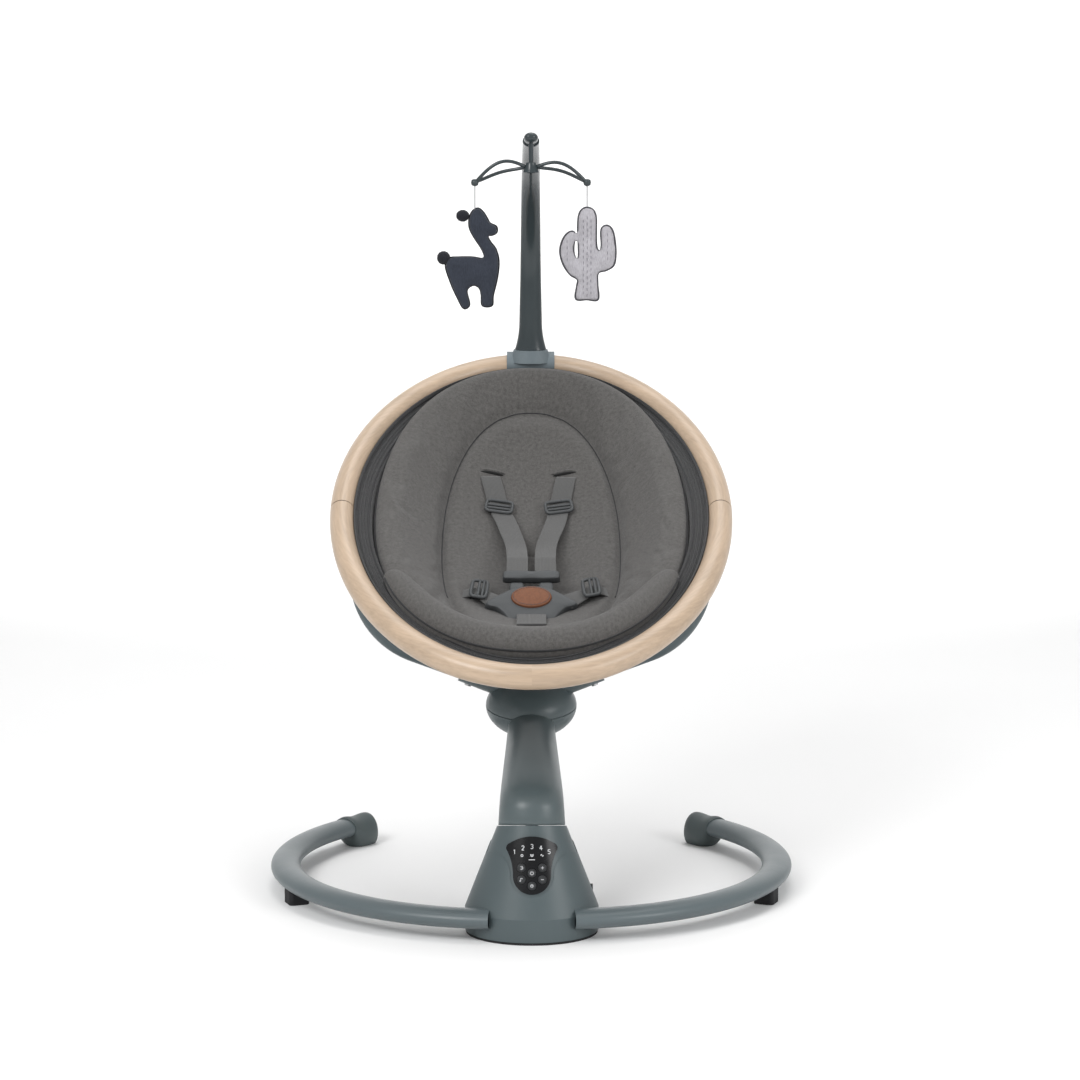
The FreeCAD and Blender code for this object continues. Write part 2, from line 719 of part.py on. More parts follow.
def yoke_parts():
    """Tubes, snap buttons, pivot housings and recline buttons."""
    tube = yoke_solid(0.0).cut(yoke_solid(yoke_wall)).cut(snap_pin(loose_gap, 5.0))
    housing = rod(V(pivot_inner_x, pivot_y, pivot_height), V(pivot_outer_x, pivot_y, pivot_height),
                  pivot_radius)
    rims = [edge for edge in housing.Edges if edge.Length > 3 * pivot_radius]
    housing = housing.makeFillet(2.5, rims)
    top = yoke_path()[3]
    collar_low = pivot_height - pivot_radius - 24
    _, _, arc_end, _ = yoke_path()
    low_x = arc_end[0] + (collar_low - arc_end[1]) / math.tan(math.radians(yoke_end_slope))
    collar = loft([yoke_wire(low_x, collar_low, yoke_end_slope, 2.5),
                   yoke_wire(top[0], top[1], yoke_end_slope, 2.5)])
    collar_cut = rod(V(pivot_inner_x - 40, pivot_y, pivot_height),
                     V(pivot_inner_x, pivot_y, pivot_height), pivot_radius + 30)
    housing = housing.fuse(collar.cut(collar_cut))
    housing = housing.cut(yoke_solid(0.0))
    housing = max(housing.Solids, key=lambda solid: solid.Volume)
    recess_floor = pivot_outer_x + recline_cap_proud - recline_cap_length - recline_travel - 1.0
    recess = rod(V(recess_floor, pivot_y, pivot_height), V(pivot_outer_x + 5, pivot_y, pivot_height),
                 recline_cap_radius + loose_gap)
    bore = rod(V(pivot_inner_x - 1, pivot_y, pivot_height), V(recess_floor - 3, pivot_y, pivot_height),
               pin_radius + running_gap)
    housing = housing.cut(recess).cut(bore)
    tube = tube.cut(rod(V(pivot_inner_x - 30, pivot_y, pivot_height),
                        V(pivot_outer_x + 5, pivot_y, pivot_height), pin_radius + 2.0))
    room_low = pivot_height - bracket_radius - 1.0
    tube = tube.cut(recess)
    tube = tube.cut(Part.makeBox(60, 80, 60, V(pivot_inner_x - 60, pivot_y - 40, room_low)))
    face_x = pivot_outer_x + recline_cap_proud
    cap = rod(V(face_x - recline_cap_length, pivot_y, pivot_height), V(face_x, pivot_y, pivot_height),
              recline_cap_radius)
    rim = max([edge for edge in cap.Edges if edge.Length > 3 * recline_cap_radius],
              key=lambda edge: edge.CenterOfMass.x)
    cap = cap.makeFillet(1.2, [rim])
    for side in (-1, 1):
        name = side_name(side)
        keep(f"yoke_tube_{name}", on_side(tube, side))
        keep(f"snap_button_{name}", on_side(snap_pin(0.0, 0.0), side))
        keep(f"pivot_housing_{name}", on_side(housing, side))
        keep(f"recline_button_{name}", on_side(cap, side))


# ---- Seat ring ----
def in_seat(u, x, w):
    """A point in the seat's frame: u up the slope, x across, w square to the ring."""
    return RING_CENTRE + SLOPE_UP * u + X_AXIS * x + SLOPE_OUT * w


def ring_half(sign):
    """One half of the wooden ring, swept along half an ellipse. sign +1 is the rear."""
    turn = FreeCAD.Rotation(SLOPE_UP, X_AXIS * -1, SLOPE_OUT, "XYZ")
    flat = Part.Ellipse(V(0, 0, 0), ring_half_length, ring_half_width)
    gap = ring_seam / 2 / ring_half_length
    half = math.pi / 2 - gap
    middle = 0.0 if sign > 0 else math.pi
    arc = Part.ArcOfEllipse(flat, middle - half, middle + half)
    edge = arc.toShape()
    edge.Placement = FreeCAD.Placement(RING_CENTRE, turn)
    start = edge.valueAt(edge.FirstParameter)
    heading = edge.tangentAt(edge.FirstParameter)
    profile = Part.Wire(Part.Circle(start, heading, ring_tube_radius).toShape())
    return Part.Wire(edge).makePipeShell([profile], True, True)


def ring_parts():
    """Both halves of the ring and the joiners in their seams."""
    joiners = []
    for side in (-1, 1):
        centre = RING_CENTRE + X_AXIS * (side * ring_half_width)
        pin = rod(centre - SLOPE_UP * (joiner_length / 2), centre + SLOPE_UP * (joiner_length / 2),
                  joiner_radius)
        disc = rod(centre - SLOPE_UP * (ring_seam / 2), centre + SLOPE_UP * (ring_seam / 2),
                   ring_tube_radius - joiner_inset)
        joiners.append(pin.fuse(disc))
    for name, sign in (("ring_rear", 1), ("ring_front", -1)):
        keep(name, ring_half(sign).cut(joiners))
    keep("ring_joiners", Part.Compound(joiners))


def ring_solid():
    """Both halves and the joiners together, to cut what sits against the ring."""
    return ring_half(1).fuse([ring_half(-1), NODES["ring_joiners"]])


def bracket_solid():
    """The right bracket: a plate beside the pivot, a saddle on the ring, and the pivot pin."""
    inner = pivot_inner_x - loose_gap - bracket_thickness
    outer = pivot_inner_x - loose_gap
    plate = rod(V(inner, pivot_y, pivot_height), V(outer, pivot_y, pivot_height), bracket_radius)
    top = ring_height + (pivot_y - ring_y) * math.tan(INCLINE)
    web = Part.makeBox(outer - inner, 34.0, top - pivot_height,
                       V(inner, pivot_y - 17.0, pivot_height))
    saddle_low = pivot_height + pivot_radius + 1.5
    saddle = Part.makeBox(ring_half_width - inner - 3.0, 34.0, top - saddle_low,
                          V(inner, pivot_y - 17.0, saddle_low))
    pin = rod(V(inner, pivot_y, pivot_height), V(pivot_inner_x + 15, pivot_y, pivot_height), pin_radius)
    return plate.fuse([web, saddle, pin])


# ---- Seat ----
def seat_shell(half_u, half_x, depth, rise):
    """The lower part of an ellipsoid below a plane that lies `rise` above the ring's plane."""
    return half_ellipsoid(half_x, half_u, depth, ring_incline, in_seat(0, 0, rise))


def seat_parts():
    """Ring brackets, bucket and pad."""
    ring = ring_solid()
    above = slab(in_seat(0, 0, -band_height - loose_gap), SLOPE_OUT, 60)
    brackets = []
    for side in (-1, 1):
        bracket = on_side(bracket_solid(), side).cut([ring, above])
        bracket = max(bracket.Solids, key=lambda solid: solid.Volume)
        brackets.append(bracket)
        keep(f"ring_bracket_{side_name(side)}", bracket)
    outer = seat_shell(bucket_half_length, bucket_half_width, bucket_depth, 0.0)
    inner = seat_shell(bucket_half_length - bucket_wall, bucket_half_width - bucket_wall,
                       bucket_depth - bucket_wall, 1.0)
    bucket = outer.cut(inner).cut(brackets)
    keep("seat_bucket", max(bucket.Solids, key=lambda solid: solid.Volume))
    reach = ring_tube_radius + rim_gap
    rim = [section(in_seat(0, 0, w), X_AXIS, SLOPE_OUT, ring_half_width - reach,
                   ring_half_length - reach) for w in (-band_height, 0.0)]
    hole = [section(in_seat(0, 0, w), X_AXIS, SLOPE_OUT, bucket_half_width + band_gap,
                    bucket_half_length + band_gap) for w in (-band_height - 1, 1.0)]
    keep("liner_band", loft(rim, True).cut(loft(hole, True)))
    shrink = bucket_wall + pad_gap
    pad = seat_shell(bucket_half_length - shrink, bucket_half_width - shrink,
                     bucket_depth + pad_rise - shrink, pad_rise)
    hollow = seat_shell(hollow_half_length, hollow_half_width, hollow_depth + 3, hollow_rise + 3)
    pad = pad.cut(hollow).cut(bucket).cut(brackets)
    keep("seat_pad", max(pad.Solids, key=lambda solid: solid.Volume))


def pad_point(u, x, lift):
    """A point above the hollow of the pad."""
    share = 1 - (u / hollow_half_length) ** 2 - (x / hollow_half_width) ** 2
    w = hollow_rise + 3 - (hollow_depth + 3) * math.sqrt(share)
    return in_seat(u, x, w + lift)


def pad_normal(u, x):
    """The direction square to the hollow's surface, pointing into the hollow."""
    step = 1.0
    along_u = pad_point(u + step, x, 0) - pad_point(u - step, x, 0)
    along_x = pad_point(u, x + step, 0) - pad_point(u, x - step, 0)
    normal = along_x.cross(along_u)
    return normal.normalize() if normal.dot(SLOPE_OUT) > 0 else (normal * -1).normalize()


def strap(stops, width, thickness):
    """A flat strap along (u, x, lift off the pad) stops, as a chain of short flat lengths."""
    wires = []
    for index, (u, x, lift) in enumerate(stops):
        before = stops[max(index - 1, 0)]
        after = stops[min(index + 1, len(stops) - 1)]
        along = pad_point(*after) - pad_point(*before)
        normal = pad_normal(u, x)
        across = along.cross(normal).normalize()
        centre = pad_point(u, x, 0) + normal * lift
        half = across * (width / 2)
        thick = normal * (thickness / 2)
        corners = [centre + half + thick, centre - half + thick, centre - half - thick,
                   centre + half - thick]
        wires.append(Part.makePolygon(corners + corners[:1]))
    return loft(wires, True)


def plate_on_pad(u, x, turn, size_u, size_x, thickness, lift, fillet):
    """A flat block on the pad with its long side turned in the pad's plane."""
    normal = pad_normal(u, x)
    up = (SLOPE_UP - normal * SLOPE_UP.dot(normal)).normalize()
    across = up.cross(normal).normalize()
    block = Part.makeBox(size_x, size_u, thickness, V(-size_x / 2, -size_u / 2, -thickness / 2))
    uprights = [edge for edge in block.Edges if abs(edge.tangentAt(edge.FirstParameter).z) > 0.9]
    block = block.makeFillet(fillet, uprights)
    block.rotate(V(0, 0, 0), Z_AXIS, turn)
    spin = FreeCAD.Rotation(across, up, normal, "XYZ")
    place = FreeCAD.Placement(pad_point(u, x, 0) + normal * lift, spin)
    block.Placement = place.multiply(block.Placement)
    return block


def buckle_frame():
    """Middle and directions of the harness buckle, which leans up off the pad from its foot."""
    u = -106.0
    normal = pad_normal(u, 0)
    up = (SLOPE_UP - normal * SLOPE_UP.dot(normal)).normalize()
    lean = math.radians(buckle_lean)
    raised = up * math.cos(lean) + normal * math.sin(lean)
    face = normal * math.cos(lean) - up * math.sin(lean)
    return pad_point(u, 0, 0) + (raised - up) * buckle_foot, raised, face


def buckle_prism(points, low, high):
    """A prism square to the pad at the buckle, through smooth outline points (x, s)."""
    origin, up, normal = buckle_frame()
    places = [origin + X_AXIS * x + up * s + normal * low for x, s in points]
    curve = Part.BSplineCurve()
    curve.interpolate(places, PeriodicFlag=True)
    face = Part.Face(Part.Wire(curve.toShape()))
    return face.extrude(normal * (high - low))


def harness_parts():
    """Straps, sliders, buckle and its press button."""
    low = strap_lift
    shoulder = [(146, 47, low), (118, 42, low), (90, 36.5, low), (55, 30, 8), (20, 24, 14),
                (-15, 19.5, 20), (-50, 17.5, 27), (-70, 17, 31)]
    waist = [(-92, 84, low), (-93, 74, 5), (-94, 64, 8), (-96, 50, 11)]
    crotch = [(-136, 0, low + 1), (-158, 0, low), (-176, 0, low)]
    body = [(0, 22), (24, 17), (46, 4), (55, -6), (45, -10), (24, -20), (0, -27),
            (-24, -20), (-45, -10), (-55, -6), (-46, 4), (-24, 17)]
    deck = strap_lift - strap_thickness / 2
    buckle = buckle_prism(body, deck + 2.0, deck + 14.0)
    origin, up, normal = buckle_frame()
    spin = FreeCAD.Rotation(X_AXIS, up, normal, "XYZ")
    bridge = Part.makeBox(68, 12, 7, V(-34, -6, -3.5))
    bridge.Placement = FreeCAD.Placement(origin + up * bridge_reach + normal * (deck + 5.5), spin)
    stems = []
    for x in (-17, 17):
        stem = Part.makeBox(16, 30, 4, V(-8, -15, -2))
        foot = origin + up * (bridge_reach - 16) + normal * (deck + 6) + X_AXIS * x
        stem.Placement = FreeCAD.Placement(foot, spin)
        stems.append(stem)
    buckle = buckle.fuse([bridge] + stems)
    button = elliptic_button(buckle_half_wide, buckle_half_high, deck + 9.0, deck + 15.0)
    well = elliptic_button(buckle_half_wide + loose_gap, buckle_half_high + loose_gap,
                           deck + 6.0, deck + 20.0)
    buckle = buckle.cut(well)
    keep("buckle_button", button)
    sliders = []
    for side in (-1, 1):
        name = side_name(side)
        upper = strap([(u, side * x, h) for u, x, h in shoulder], strap_width, strap_thickness)
        lower = strap([(u, side * x, h) for u, x, h in waist], strap_width - 4, strap_thickness)
        adjuster = plate_on_pad(90, side * 36.5, 0, 18, 31, 5, strap_lift + 2.5, 3.0)
        slider = plate_on_pad(-93, side * 67, 0, 30, 14, 5, strap_lift + 8.0, 3.0)
        sliders += [adjuster.cut(upper), slider.cut(lower)]
        keep(f"shoulder_strap_{name}", upper.cut(buckle))
        keep(f"waist_strap_{name}", lower.cut(buckle))
    keep("strap_sliders", Part.Compound(sliders))
    keep("seat_pad", NODES["seat_pad"].cut(buckle))
    keep("crotch_strap", strap(crotch, strap_width, strap_thickness).cut(buckle))
    keep("buckle_body", buckle)


def elliptic_button(half_x, half_s, low, high):
    """An oval button square to the buckle."""
    origin, up, normal = buckle_frame()
    wires = [section(origin + up * 2.0 + normal * level, X_AXIS, normal, half_x, half_s)
             for level in (low, high)]
    return loft(wires, True)


# ---- Toy bar ----
def bar_wire(y, z, heading, half_x, half_t):
    """The bar's oval at a point of the YZ plane. Heading is measured from +Y to +Z."""
    a = math.radians(heading)
    return section(V(0, y, z), X_AXIS, V(0, math.cos(a), math.sin(a)), half_x, half_t)


def bar_bend_point(share):
    """Point and heading along the bar's main bend."""
    a0 = math.radians(bar_heading)
    heading = bar_heading + (bar_bend_end - bar_heading) * share
    a = math.radians(heading)
    y0 = bar_foot_y + bar_straight * math.cos(a0)
    z0 = bar_foot_height + bar_straight * math.sin(a0)
    y = y0 + bar_bend_radius * (math.sin(a0 + math.pi) - math.sin(a + math.pi))
    z = z0 + bar_bend_radius * (math.cos(a0) - math.cos(a))
    return y, z, heading


def bar_top_point(share):
    """Point and heading along the gentle bend to the tip."""
    y0, z0, _ = bar_bend_point(1.0)
    a0 = math.radians(bar_bend_end)
    heading = bar_bend_end + (bar_end_heading - bar_bend_end) * share
    a = math.radians(heading)
    y = y0 + bar_top_radius * (math.sin(a) - math.sin(a0))
    z = z0 + bar_top_radius * (math.cos(a0) - math.cos(a))
    return y, z, heading


def mixed(share):
    """Half widths of the bar, which narrows evenly from its foot to its tip."""
    half_x = bar_half_width + (bar_tip_half_width - bar_half_width) * share
    half_t = bar_half_thickness + (bar_tip_half_thickness - bar_half_thickness) * share
    return half_x, half_t


def toy_bar_parts():
    """Socket on the ring, lower and upper tube, and the tip with its post."""
    a0 = math.radians(bar_heading)
    foot = V(0, bar_foot_y, bar_foot_height)
    along = V(0, math.cos(a0), math.sin(a0))
    low_start = foot + along * loose_gap
    spigot = rod(foot - along * bar_spigot, low_start + along, bar_spigot_radius)
    bore = rod(foot - along * (bar_spigot + 1), foot + along, bar_spigot_radius + running_gap)
    sleeve = rod(foot - along * (bar_spigot + 1), foot, bar_spigot_radius + 2)
    end = in_seat(ring_half_length, 0, 0)
    boss = loft([section(foot - along * 16, X_AXIS, along, bar_half_width + 11, bar_half_thickness + 5),
                 section(foot, X_AXIS, along, bar_half_width + 7, bar_half_thickness + 3)], True)
    clamp = Part.makeCylinder(ring_tube_radius + 3, 60, end - X_AXIS * 30, X_AXIS)
    socket = clamp.fuse(boss).cut(ring_solid()).fuse(sleeve).cut(bore)
    keep("ring_rear", NODES["ring_rear"].cut(sleeve))
    socket = keep("toy_bar_socket", max(socket.Solids, key=lambda solid: solid.Volume))
    way = rod(foot - along * (bar_spigot + 4), foot, bar_spigot_radius + 4)
    for name in ("seat_bucket", "seat_pad", "liner_band"):
        keep(name, NODES[name].cut([socket, way]))

    y1, z1, _ = bar_bend_point(0.0)
    flare = foot + along * bar_flare_height
    straight = loft([section(flare, X_AXIS, along, *mixed(0.0)),
                     bar_wire(y1, z1, bar_heading, *mixed(0.25))], True)
    skirt = loft([section(low_start, X_AXIS, along, bar_half_width + 5.5, bar_half_thickness + 2.0),
                  section(foot + along * 14, X_AXIS, along, bar_half_width + 2.0,
                          bar_half_thickness + 0.8),
                  section(flare, X_AXIS, along, *mixed(0.0))])
    bend = [bar_bend_point(bar_seam_share * i / 2) for i in range(3)]
    knee = loft([bar_wire(*row, *mixed(0.25 + 0.05 * i)) for i, row in enumerate(bend)])
    keep("toy_bar_lower", straight.fuse([skirt, knee, spigot]).removeSplitter())

    rest = 1 - bar_seam_share
    rows = [bar_bend_point(bar_seam_share + rest * i / 4) for i in range(5)]
    wires = [bar_wire(*row, *mixed(0.36 + 0.07 * i)) for i, row in enumerate(rows)]
    arc = loft(wires)
    top_rows = [bar_top_point(i / 2) for i in range(3)]
    top = loft([bar_wire(*row, *mixed(0.64 + 0.14 * i)) for i, row in enumerate(top_rows)])
    y_end, z_end, heading_end = bar_top_point(1.0)
    a = math.radians(heading_end)
    end_point = V(0, y_end, z_end)
    end_dir = V(0, math.cos(a), math.sin(a))
    tip = loft([section(end_point + end_dir * s, X_AXIS, end_dir, bar_tip_half_width * k,
                        bar_tip_half_thickness * k)
                for s, k in ((0, 0.92), (bar_tip_length * 0.6, 0.9), (bar_tip_length * 0.92, 0.66),
                             (bar_tip_length, 0.3))])
    post_top = end_point + end_dir * (bar_tip_length * 0.45)
    post = rod(post_top, post_top - Z_AXIS * (bar_tip_half_thickness + post_length), post_radius)
    stop = rod(post_top - Z_AXIS * (bar_tip_half_thickness + post_length),
               post_top - Z_AXIS * (bar_tip_half_thickness + post_length + 2), post_radius + 2)
    keep("toy_bar_upper", arc.fuse([top, tip, post, stop]).removeSplitter())
    return post_top - Z_AXIS * bar_tip_half_thickness


# ---- Hanger and toys ----
def hanger_parts(hook):
    """Hanger with two long open loops, from the post's upper end downwards."""
    low = hook - Z_AXIS * (post_length - loose_gap)
    hub = Part.makeCone(hanger_hub_radius, hanger_hub_radius * 0.6, hanger_hub_height, low)
    bore = rod(hook, hook - Z_AXIS * 40, post_radius + running_gap)
    hub = hub.cut(bore)
    mid = low + Z_AXIS * (hanger_hub_height * 0.45)
    arms = []
    for side in (-1, 1):
        start = mid + X_AXIS * (side * (hanger_hub_radius - 3))
        end = mid + X_AXIS * (side * (hanger_half_span - 3)) - Z_AXIS * hanger_drop
        for lift in (-1, 1):
            spread = Y_AXIS * (lift * hanger_loop_half)
            middle = start * 0.45 + end * 0.55 + spread + Z_AXIS * 3.5
            curve = Part.Arc(start + spread * 0.5, middle, end + spread * 0.35).toShape()
            heading = curve.tangentAt(curve.FirstParameter)
            ring = Part.Wire(Part.Circle(curve.valueAt(curve.FirstParameter), heading,
                                         hanger_strand).toShape())
            arms.append(Part.Wire(curve).makePipeShell([ring], True, True))
        arms.append(Part.makeSphere(4.5, end))
    hanger = hub.fuse(arms).cut(bore)
    keep("toy_hanger", max(hanger.Solids, key=lambda solid: solid.Volume))
    return mid.z - hanger_drop - 4.5, mid.y


def toy_outline(points, arcs, origin):
    """A flat toy body: a closed outline in the XZ plane with arcs, thickened along Y."""
    edges = []
    i = 0
    while i < len(points):
        place = [origin + V(x, -toy_thickness / 2, z)
                 for x, z in (points[i], points[(i + 1) % len(points)], points[(i + 2) % len(points)])]
        if (i + 1) % len(points) in arcs:
            edges.append(Part.Arc(*place).toShape())
            i += 2
        else:
            edges.append(Part.LineSegment(place[0], place[1]).toShape())
            i += 1
    body = Part.Face(Part.Wire(edges)).extrude(V(0, toy_thickness, 0))
    return body


def toy_parts(end_level, hanger_y):
    """Two strings and the two toys on them."""
    for name, side in (("llama", -1), ("cactus", 1)):
        x = side * (hanger_half_span - 3)
        top = V(x, hanger_y, end_level - string_gap)
        foot = top - Z_AXIS * string_length
        keep(f"{name}_string", rod(foot, top, string_radius))
    w, h = llama_width, llama_height
    origin = V(-(hanger_half_span - 3), hanger_y, end_level - string_gap - string_length)
    llama = [
        (-14, -10), (0, 0), (14, -8), (24, -16), (16, -30), (12, -44), (w * 0.42, -52),
        (w * 0.5, -h * 0.62), (w * 0.46, -h + 8), (w * 0.34, -h), (w * 0.2, -h + 6),
        (0, -h * 0.74), (-w * 0.2, -h + 6), (-w * 0.34, -h), (-w * 0.46, -h + 8),
        (-w * 0.5, -h * 0.6), (-w * 0.34, -46), (-w * 0.3, -30),
    ]
    keep("llama_toy", toy_outline(llama, (1, 3, 5, 9, 11, 13, 15, 17), origin))
    w, h = cactus_width, cactus_height
    origin = V(hanger_half_span - 3, hanger_y, end_level - string_gap - string_length)
    cactus = [
        (-11, -12), (0, 0), (11, -12), (11, -46), (18, -46), (19, -30), (w * 0.4, -20),
        (w * 0.5, -30), (w * 0.5, -52), (w * 0.4, -66), (11, -68), (14, -h + 6), (13, -h),
        (-13, -h), (-14, -h + 6), (-11, -60), (-w * 0.4, -58), (-w * 0.5, -44), (-w * 0.5, -22),
        (-w * 0.4, -13), (-19, -22), (-18, -38), (-11, -38),
    ]
    keep("cactus_toy", toy_outline(cactus, (1, 6, 9, 16, 19), origin))


def build():
    """Makes every sub-part and writes one file for each."""
    housing_parts()
    leg_parts()
    inner_parts()
    arm_parts()
    yoke_parts()
    ring_parts()
    seat_parts()
    harness_parts()
    hook = toy_bar_parts()
    level, hanger_y = hanger_parts(hook)
    toy_parts(level, hanger_y)
    os.makedirs("parts", exist_ok=True)
    for name, shape in NODES.items():
        if not shape.isValid() or not shape.Solids:
            raise ValueError(f"{name} isn't a valid solid")
        shape.exportStep(f"parts/{name}.step")
        box = shape.BoundBox
        print(f"{name}: {len(shape.Solids)} solid, {shape.Volume / 1000:.1f} cm3, "
              f"{box.XLength:.0f} x {box.YLength:.0f} x {box.ZLength:.0f} mm")
    print(len(NODES), "nodes")


build()
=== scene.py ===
"""Looks of the baby swing: padded seat, liner, harness, soft toys, keypad print and every finish."""
import json
import math

import bmesh
import bpy
import numpy as np
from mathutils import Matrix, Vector
from mathutils.bvhtree import BVHTree


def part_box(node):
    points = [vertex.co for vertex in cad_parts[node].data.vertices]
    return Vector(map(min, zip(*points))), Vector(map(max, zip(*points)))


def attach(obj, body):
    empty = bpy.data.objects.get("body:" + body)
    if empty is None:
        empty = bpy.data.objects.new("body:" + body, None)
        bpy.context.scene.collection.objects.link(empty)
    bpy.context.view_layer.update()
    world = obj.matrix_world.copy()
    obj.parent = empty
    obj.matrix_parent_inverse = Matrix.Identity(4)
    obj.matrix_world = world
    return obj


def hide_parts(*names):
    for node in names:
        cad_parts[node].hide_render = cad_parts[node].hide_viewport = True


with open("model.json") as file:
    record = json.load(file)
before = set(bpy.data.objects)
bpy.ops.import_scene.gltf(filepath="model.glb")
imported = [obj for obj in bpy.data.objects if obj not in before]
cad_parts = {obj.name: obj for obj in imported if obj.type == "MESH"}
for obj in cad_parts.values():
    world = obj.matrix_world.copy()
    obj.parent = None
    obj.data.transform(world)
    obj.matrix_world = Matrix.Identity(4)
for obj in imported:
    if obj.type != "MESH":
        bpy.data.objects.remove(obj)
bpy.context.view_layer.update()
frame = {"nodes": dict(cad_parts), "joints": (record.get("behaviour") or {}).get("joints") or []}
JOINTS = {joint["name"]: joint for joint in frame["joints"]}

# ---- Values, in metres ----
RING_TUBE = 0.014
PAD_HEAD = 0.297  # the pad's reach up the slope, down the slope and to each side
PAD_FOOT = 0.268
PAD_HALF_WIDTH = 0.184
PAD_THICKNESS = 0.026
PAD_RIM_LEVEL = 0.003
PAD_HEAD_LIFT = 0.011  # how much higher the rim lies behind the head
PAD_DEPTH = 0.078
PANEL_HEAD = 0.236  # the sewn oval panel inside the pad
PANEL_FOOT = 0.235
PANEL_HALF_WIDTH = 0.106
ROLL_HALF_ANGLE = math.radians(52)
STRAP_WIDTH = 0.025
CORD_SEWN_IN = 0.006  # how far a toy's cord goes down inside it
THREAD = 0.0011  # pitch of the weave


def ring_frame():
    """Middle of the seat ring and its directions: up the slope, and square to the ring."""
    low = np.minimum(*[np.array(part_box(n)[0]) for n in ("ring_front", "ring_rear")])
    high = np.maximum(*[np.array(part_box(n)[1]) for n in ("ring_front", "ring_rear")])
    half = (high - low) / 2 - RING_TUBE
    tilt = math.atan2(half[2], half[1])
    up = np.array([0, math.cos(tilt), math.sin(tilt)])
    out = np.array([0, -math.sin(tilt), math.cos(tilt)])
    return (low + high) / 2, up, out, tilt, float(np.hypot(half[1], half[2])), float(half[0])


CENTRE, UP, OUT, TILT, RING_LONG, RING_WIDE = ring_frame()
SIDE = np.array([1.0, 0, 0])


def seat(u, x, w):
    """Points of the seat's frame: middle + u up the slope + x across + w square to the ring."""
    u, x, w = (np.asarray(v, float)[..., None] for v in (u, x, w))
    return CENTRE + u * UP + x * SIDE + w * OUT


# ---- Mesh making ----
def piece(name, vertices, faces, body, slot, material, smooth=True, uv=None):
    """A new piece from points and faces, which rides on a body and takes the given material; the slot argument
    is not used.
    """
    mesh = bpy.data.meshes.new(name)
    mesh.from_pydata(np.asarray(vertices).reshape(-1, 3).tolist(), [], [tuple(f) for f in faces])
    mesh.validate()
    mesh.polygons.foreach_set("use_smooth", [smooth] * len(mesh.polygons))
    if uv is not None:
        layer = mesh.uv_layers.new(name="weave")
        loops = np.zeros(len(mesh.loops), int)
        mesh.loops.foreach_get("vertex_index", loops)
        layer.data.foreach_set("uv", np.asarray(uv, float).reshape(-1, 2)[loops].ravel())
    made = bpy.data.objects.new(name, mesh)
    bpy.context.scene.collection.objects.link(made)
    mesh.materials.append(material)
    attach(made, body)
    return made


def grid_faces(rows, columns, wrap_rows=False, wrap_columns=True):
    """Quads of a grid of points, row by row, closed round either way."""
    r = np.arange(rows if wrap_rows else rows - 1)
    c = np.arange(columns if wrap_columns else columns - 1)
    r, c = (v.ravel() for v in np.meshgrid(r, c, indexing="ij"))
    r2, c2 = (r + 1) % rows, (c + 1) % columns
    return np.stack([r * columns + c, r * columns + c2, r2 * columns + c2, r2 * columns + c], 1)


def closed_grid(points):
    """Points and faces of a tube of rings (rows, around, 3), with a fan over each end."""
    rows, columns, _ = points.shape
    faces = [tuple(f) for f in grid_faces(rows, columns)]
    first, last = rows * columns, rows * columns + 1
    for c in range(columns):
        faces.append((first, (c + 1) % columns, c))
        faces.append((last, (rows - 1) * columns + c, (rows - 1) * columns + (c + 1) % columns))
    ends = np.stack([points[0].mean(0), points[-1].mean(0)])
    return np.concatenate([points.reshape(-1, 3), ends]), faces


def outward(made):
    """Turns every face of a closed piece outwards."""
    work = bmesh.new()
    work.from_mesh(made.data)
    bmesh.ops.recalc_face_normals(work, faces=work.faces)
    work.to_mesh(made.data)
    work.free()
    return made


def subdivide(made, levels=1):
    """Adds a subdivision surface, the same when shown and when rendered."""
    modifier = made.modifiers.new("round", "SUBSURF")
    modifier.levels = levels
    modifier.render_levels = levels
    return made


def tube(path, radius, around=12, closed=False):
    """A round tube along a path: each ring is centre + r (cos a normal + sin a binormal),
    with the frame carried along the path. `radius` is one value or one for each point."""
    path = np.asarray(path, float)
    ahead = np.roll(path, -1, 0) - np.roll(path, 1, 0) if closed else np.gradient(path, axis=0)
    ahead /= np.linalg.norm(ahead, axis=1)[:, None]
    guide = np.array([0, 0, 1.0]) if abs(ahead[0][2]) < 0.9 else np.array([0, 1.0, 0])
    normals = []
    for step in ahead:
        guide = guide - step * (guide @ step)
        guide = guide / np.linalg.norm(guide)
        normals.append(guide)
    normals = np.array(normals)
    sides = np.cross(ahead, normals)
    a = np.linspace(0, 2 * math.pi, around, endpoint=False)[None, :, None]
    r = np.broadcast_to(np.asarray(radius, float), (len(path),))[:, None, None]
    points = path[:, None] + r * (np.cos(a) * normals[:, None] + np.sin(a) * sides[:, None])
    if closed:
        return points.reshape(-1, 3), [tuple(f) for f in grid_faces(len(path), around, True)]
    return closed_grid(points)


def join(parts):
    """One set of points and faces from several."""
    points, faces, base = [], [], 0
    for some, quads in parts:
        points.append(np.asarray(some).reshape(-1, 3))
        faces += [tuple(int(i) + base for i in f) for f in quads]
        base += len(points[-1])
    return np.concatenate(points), faces


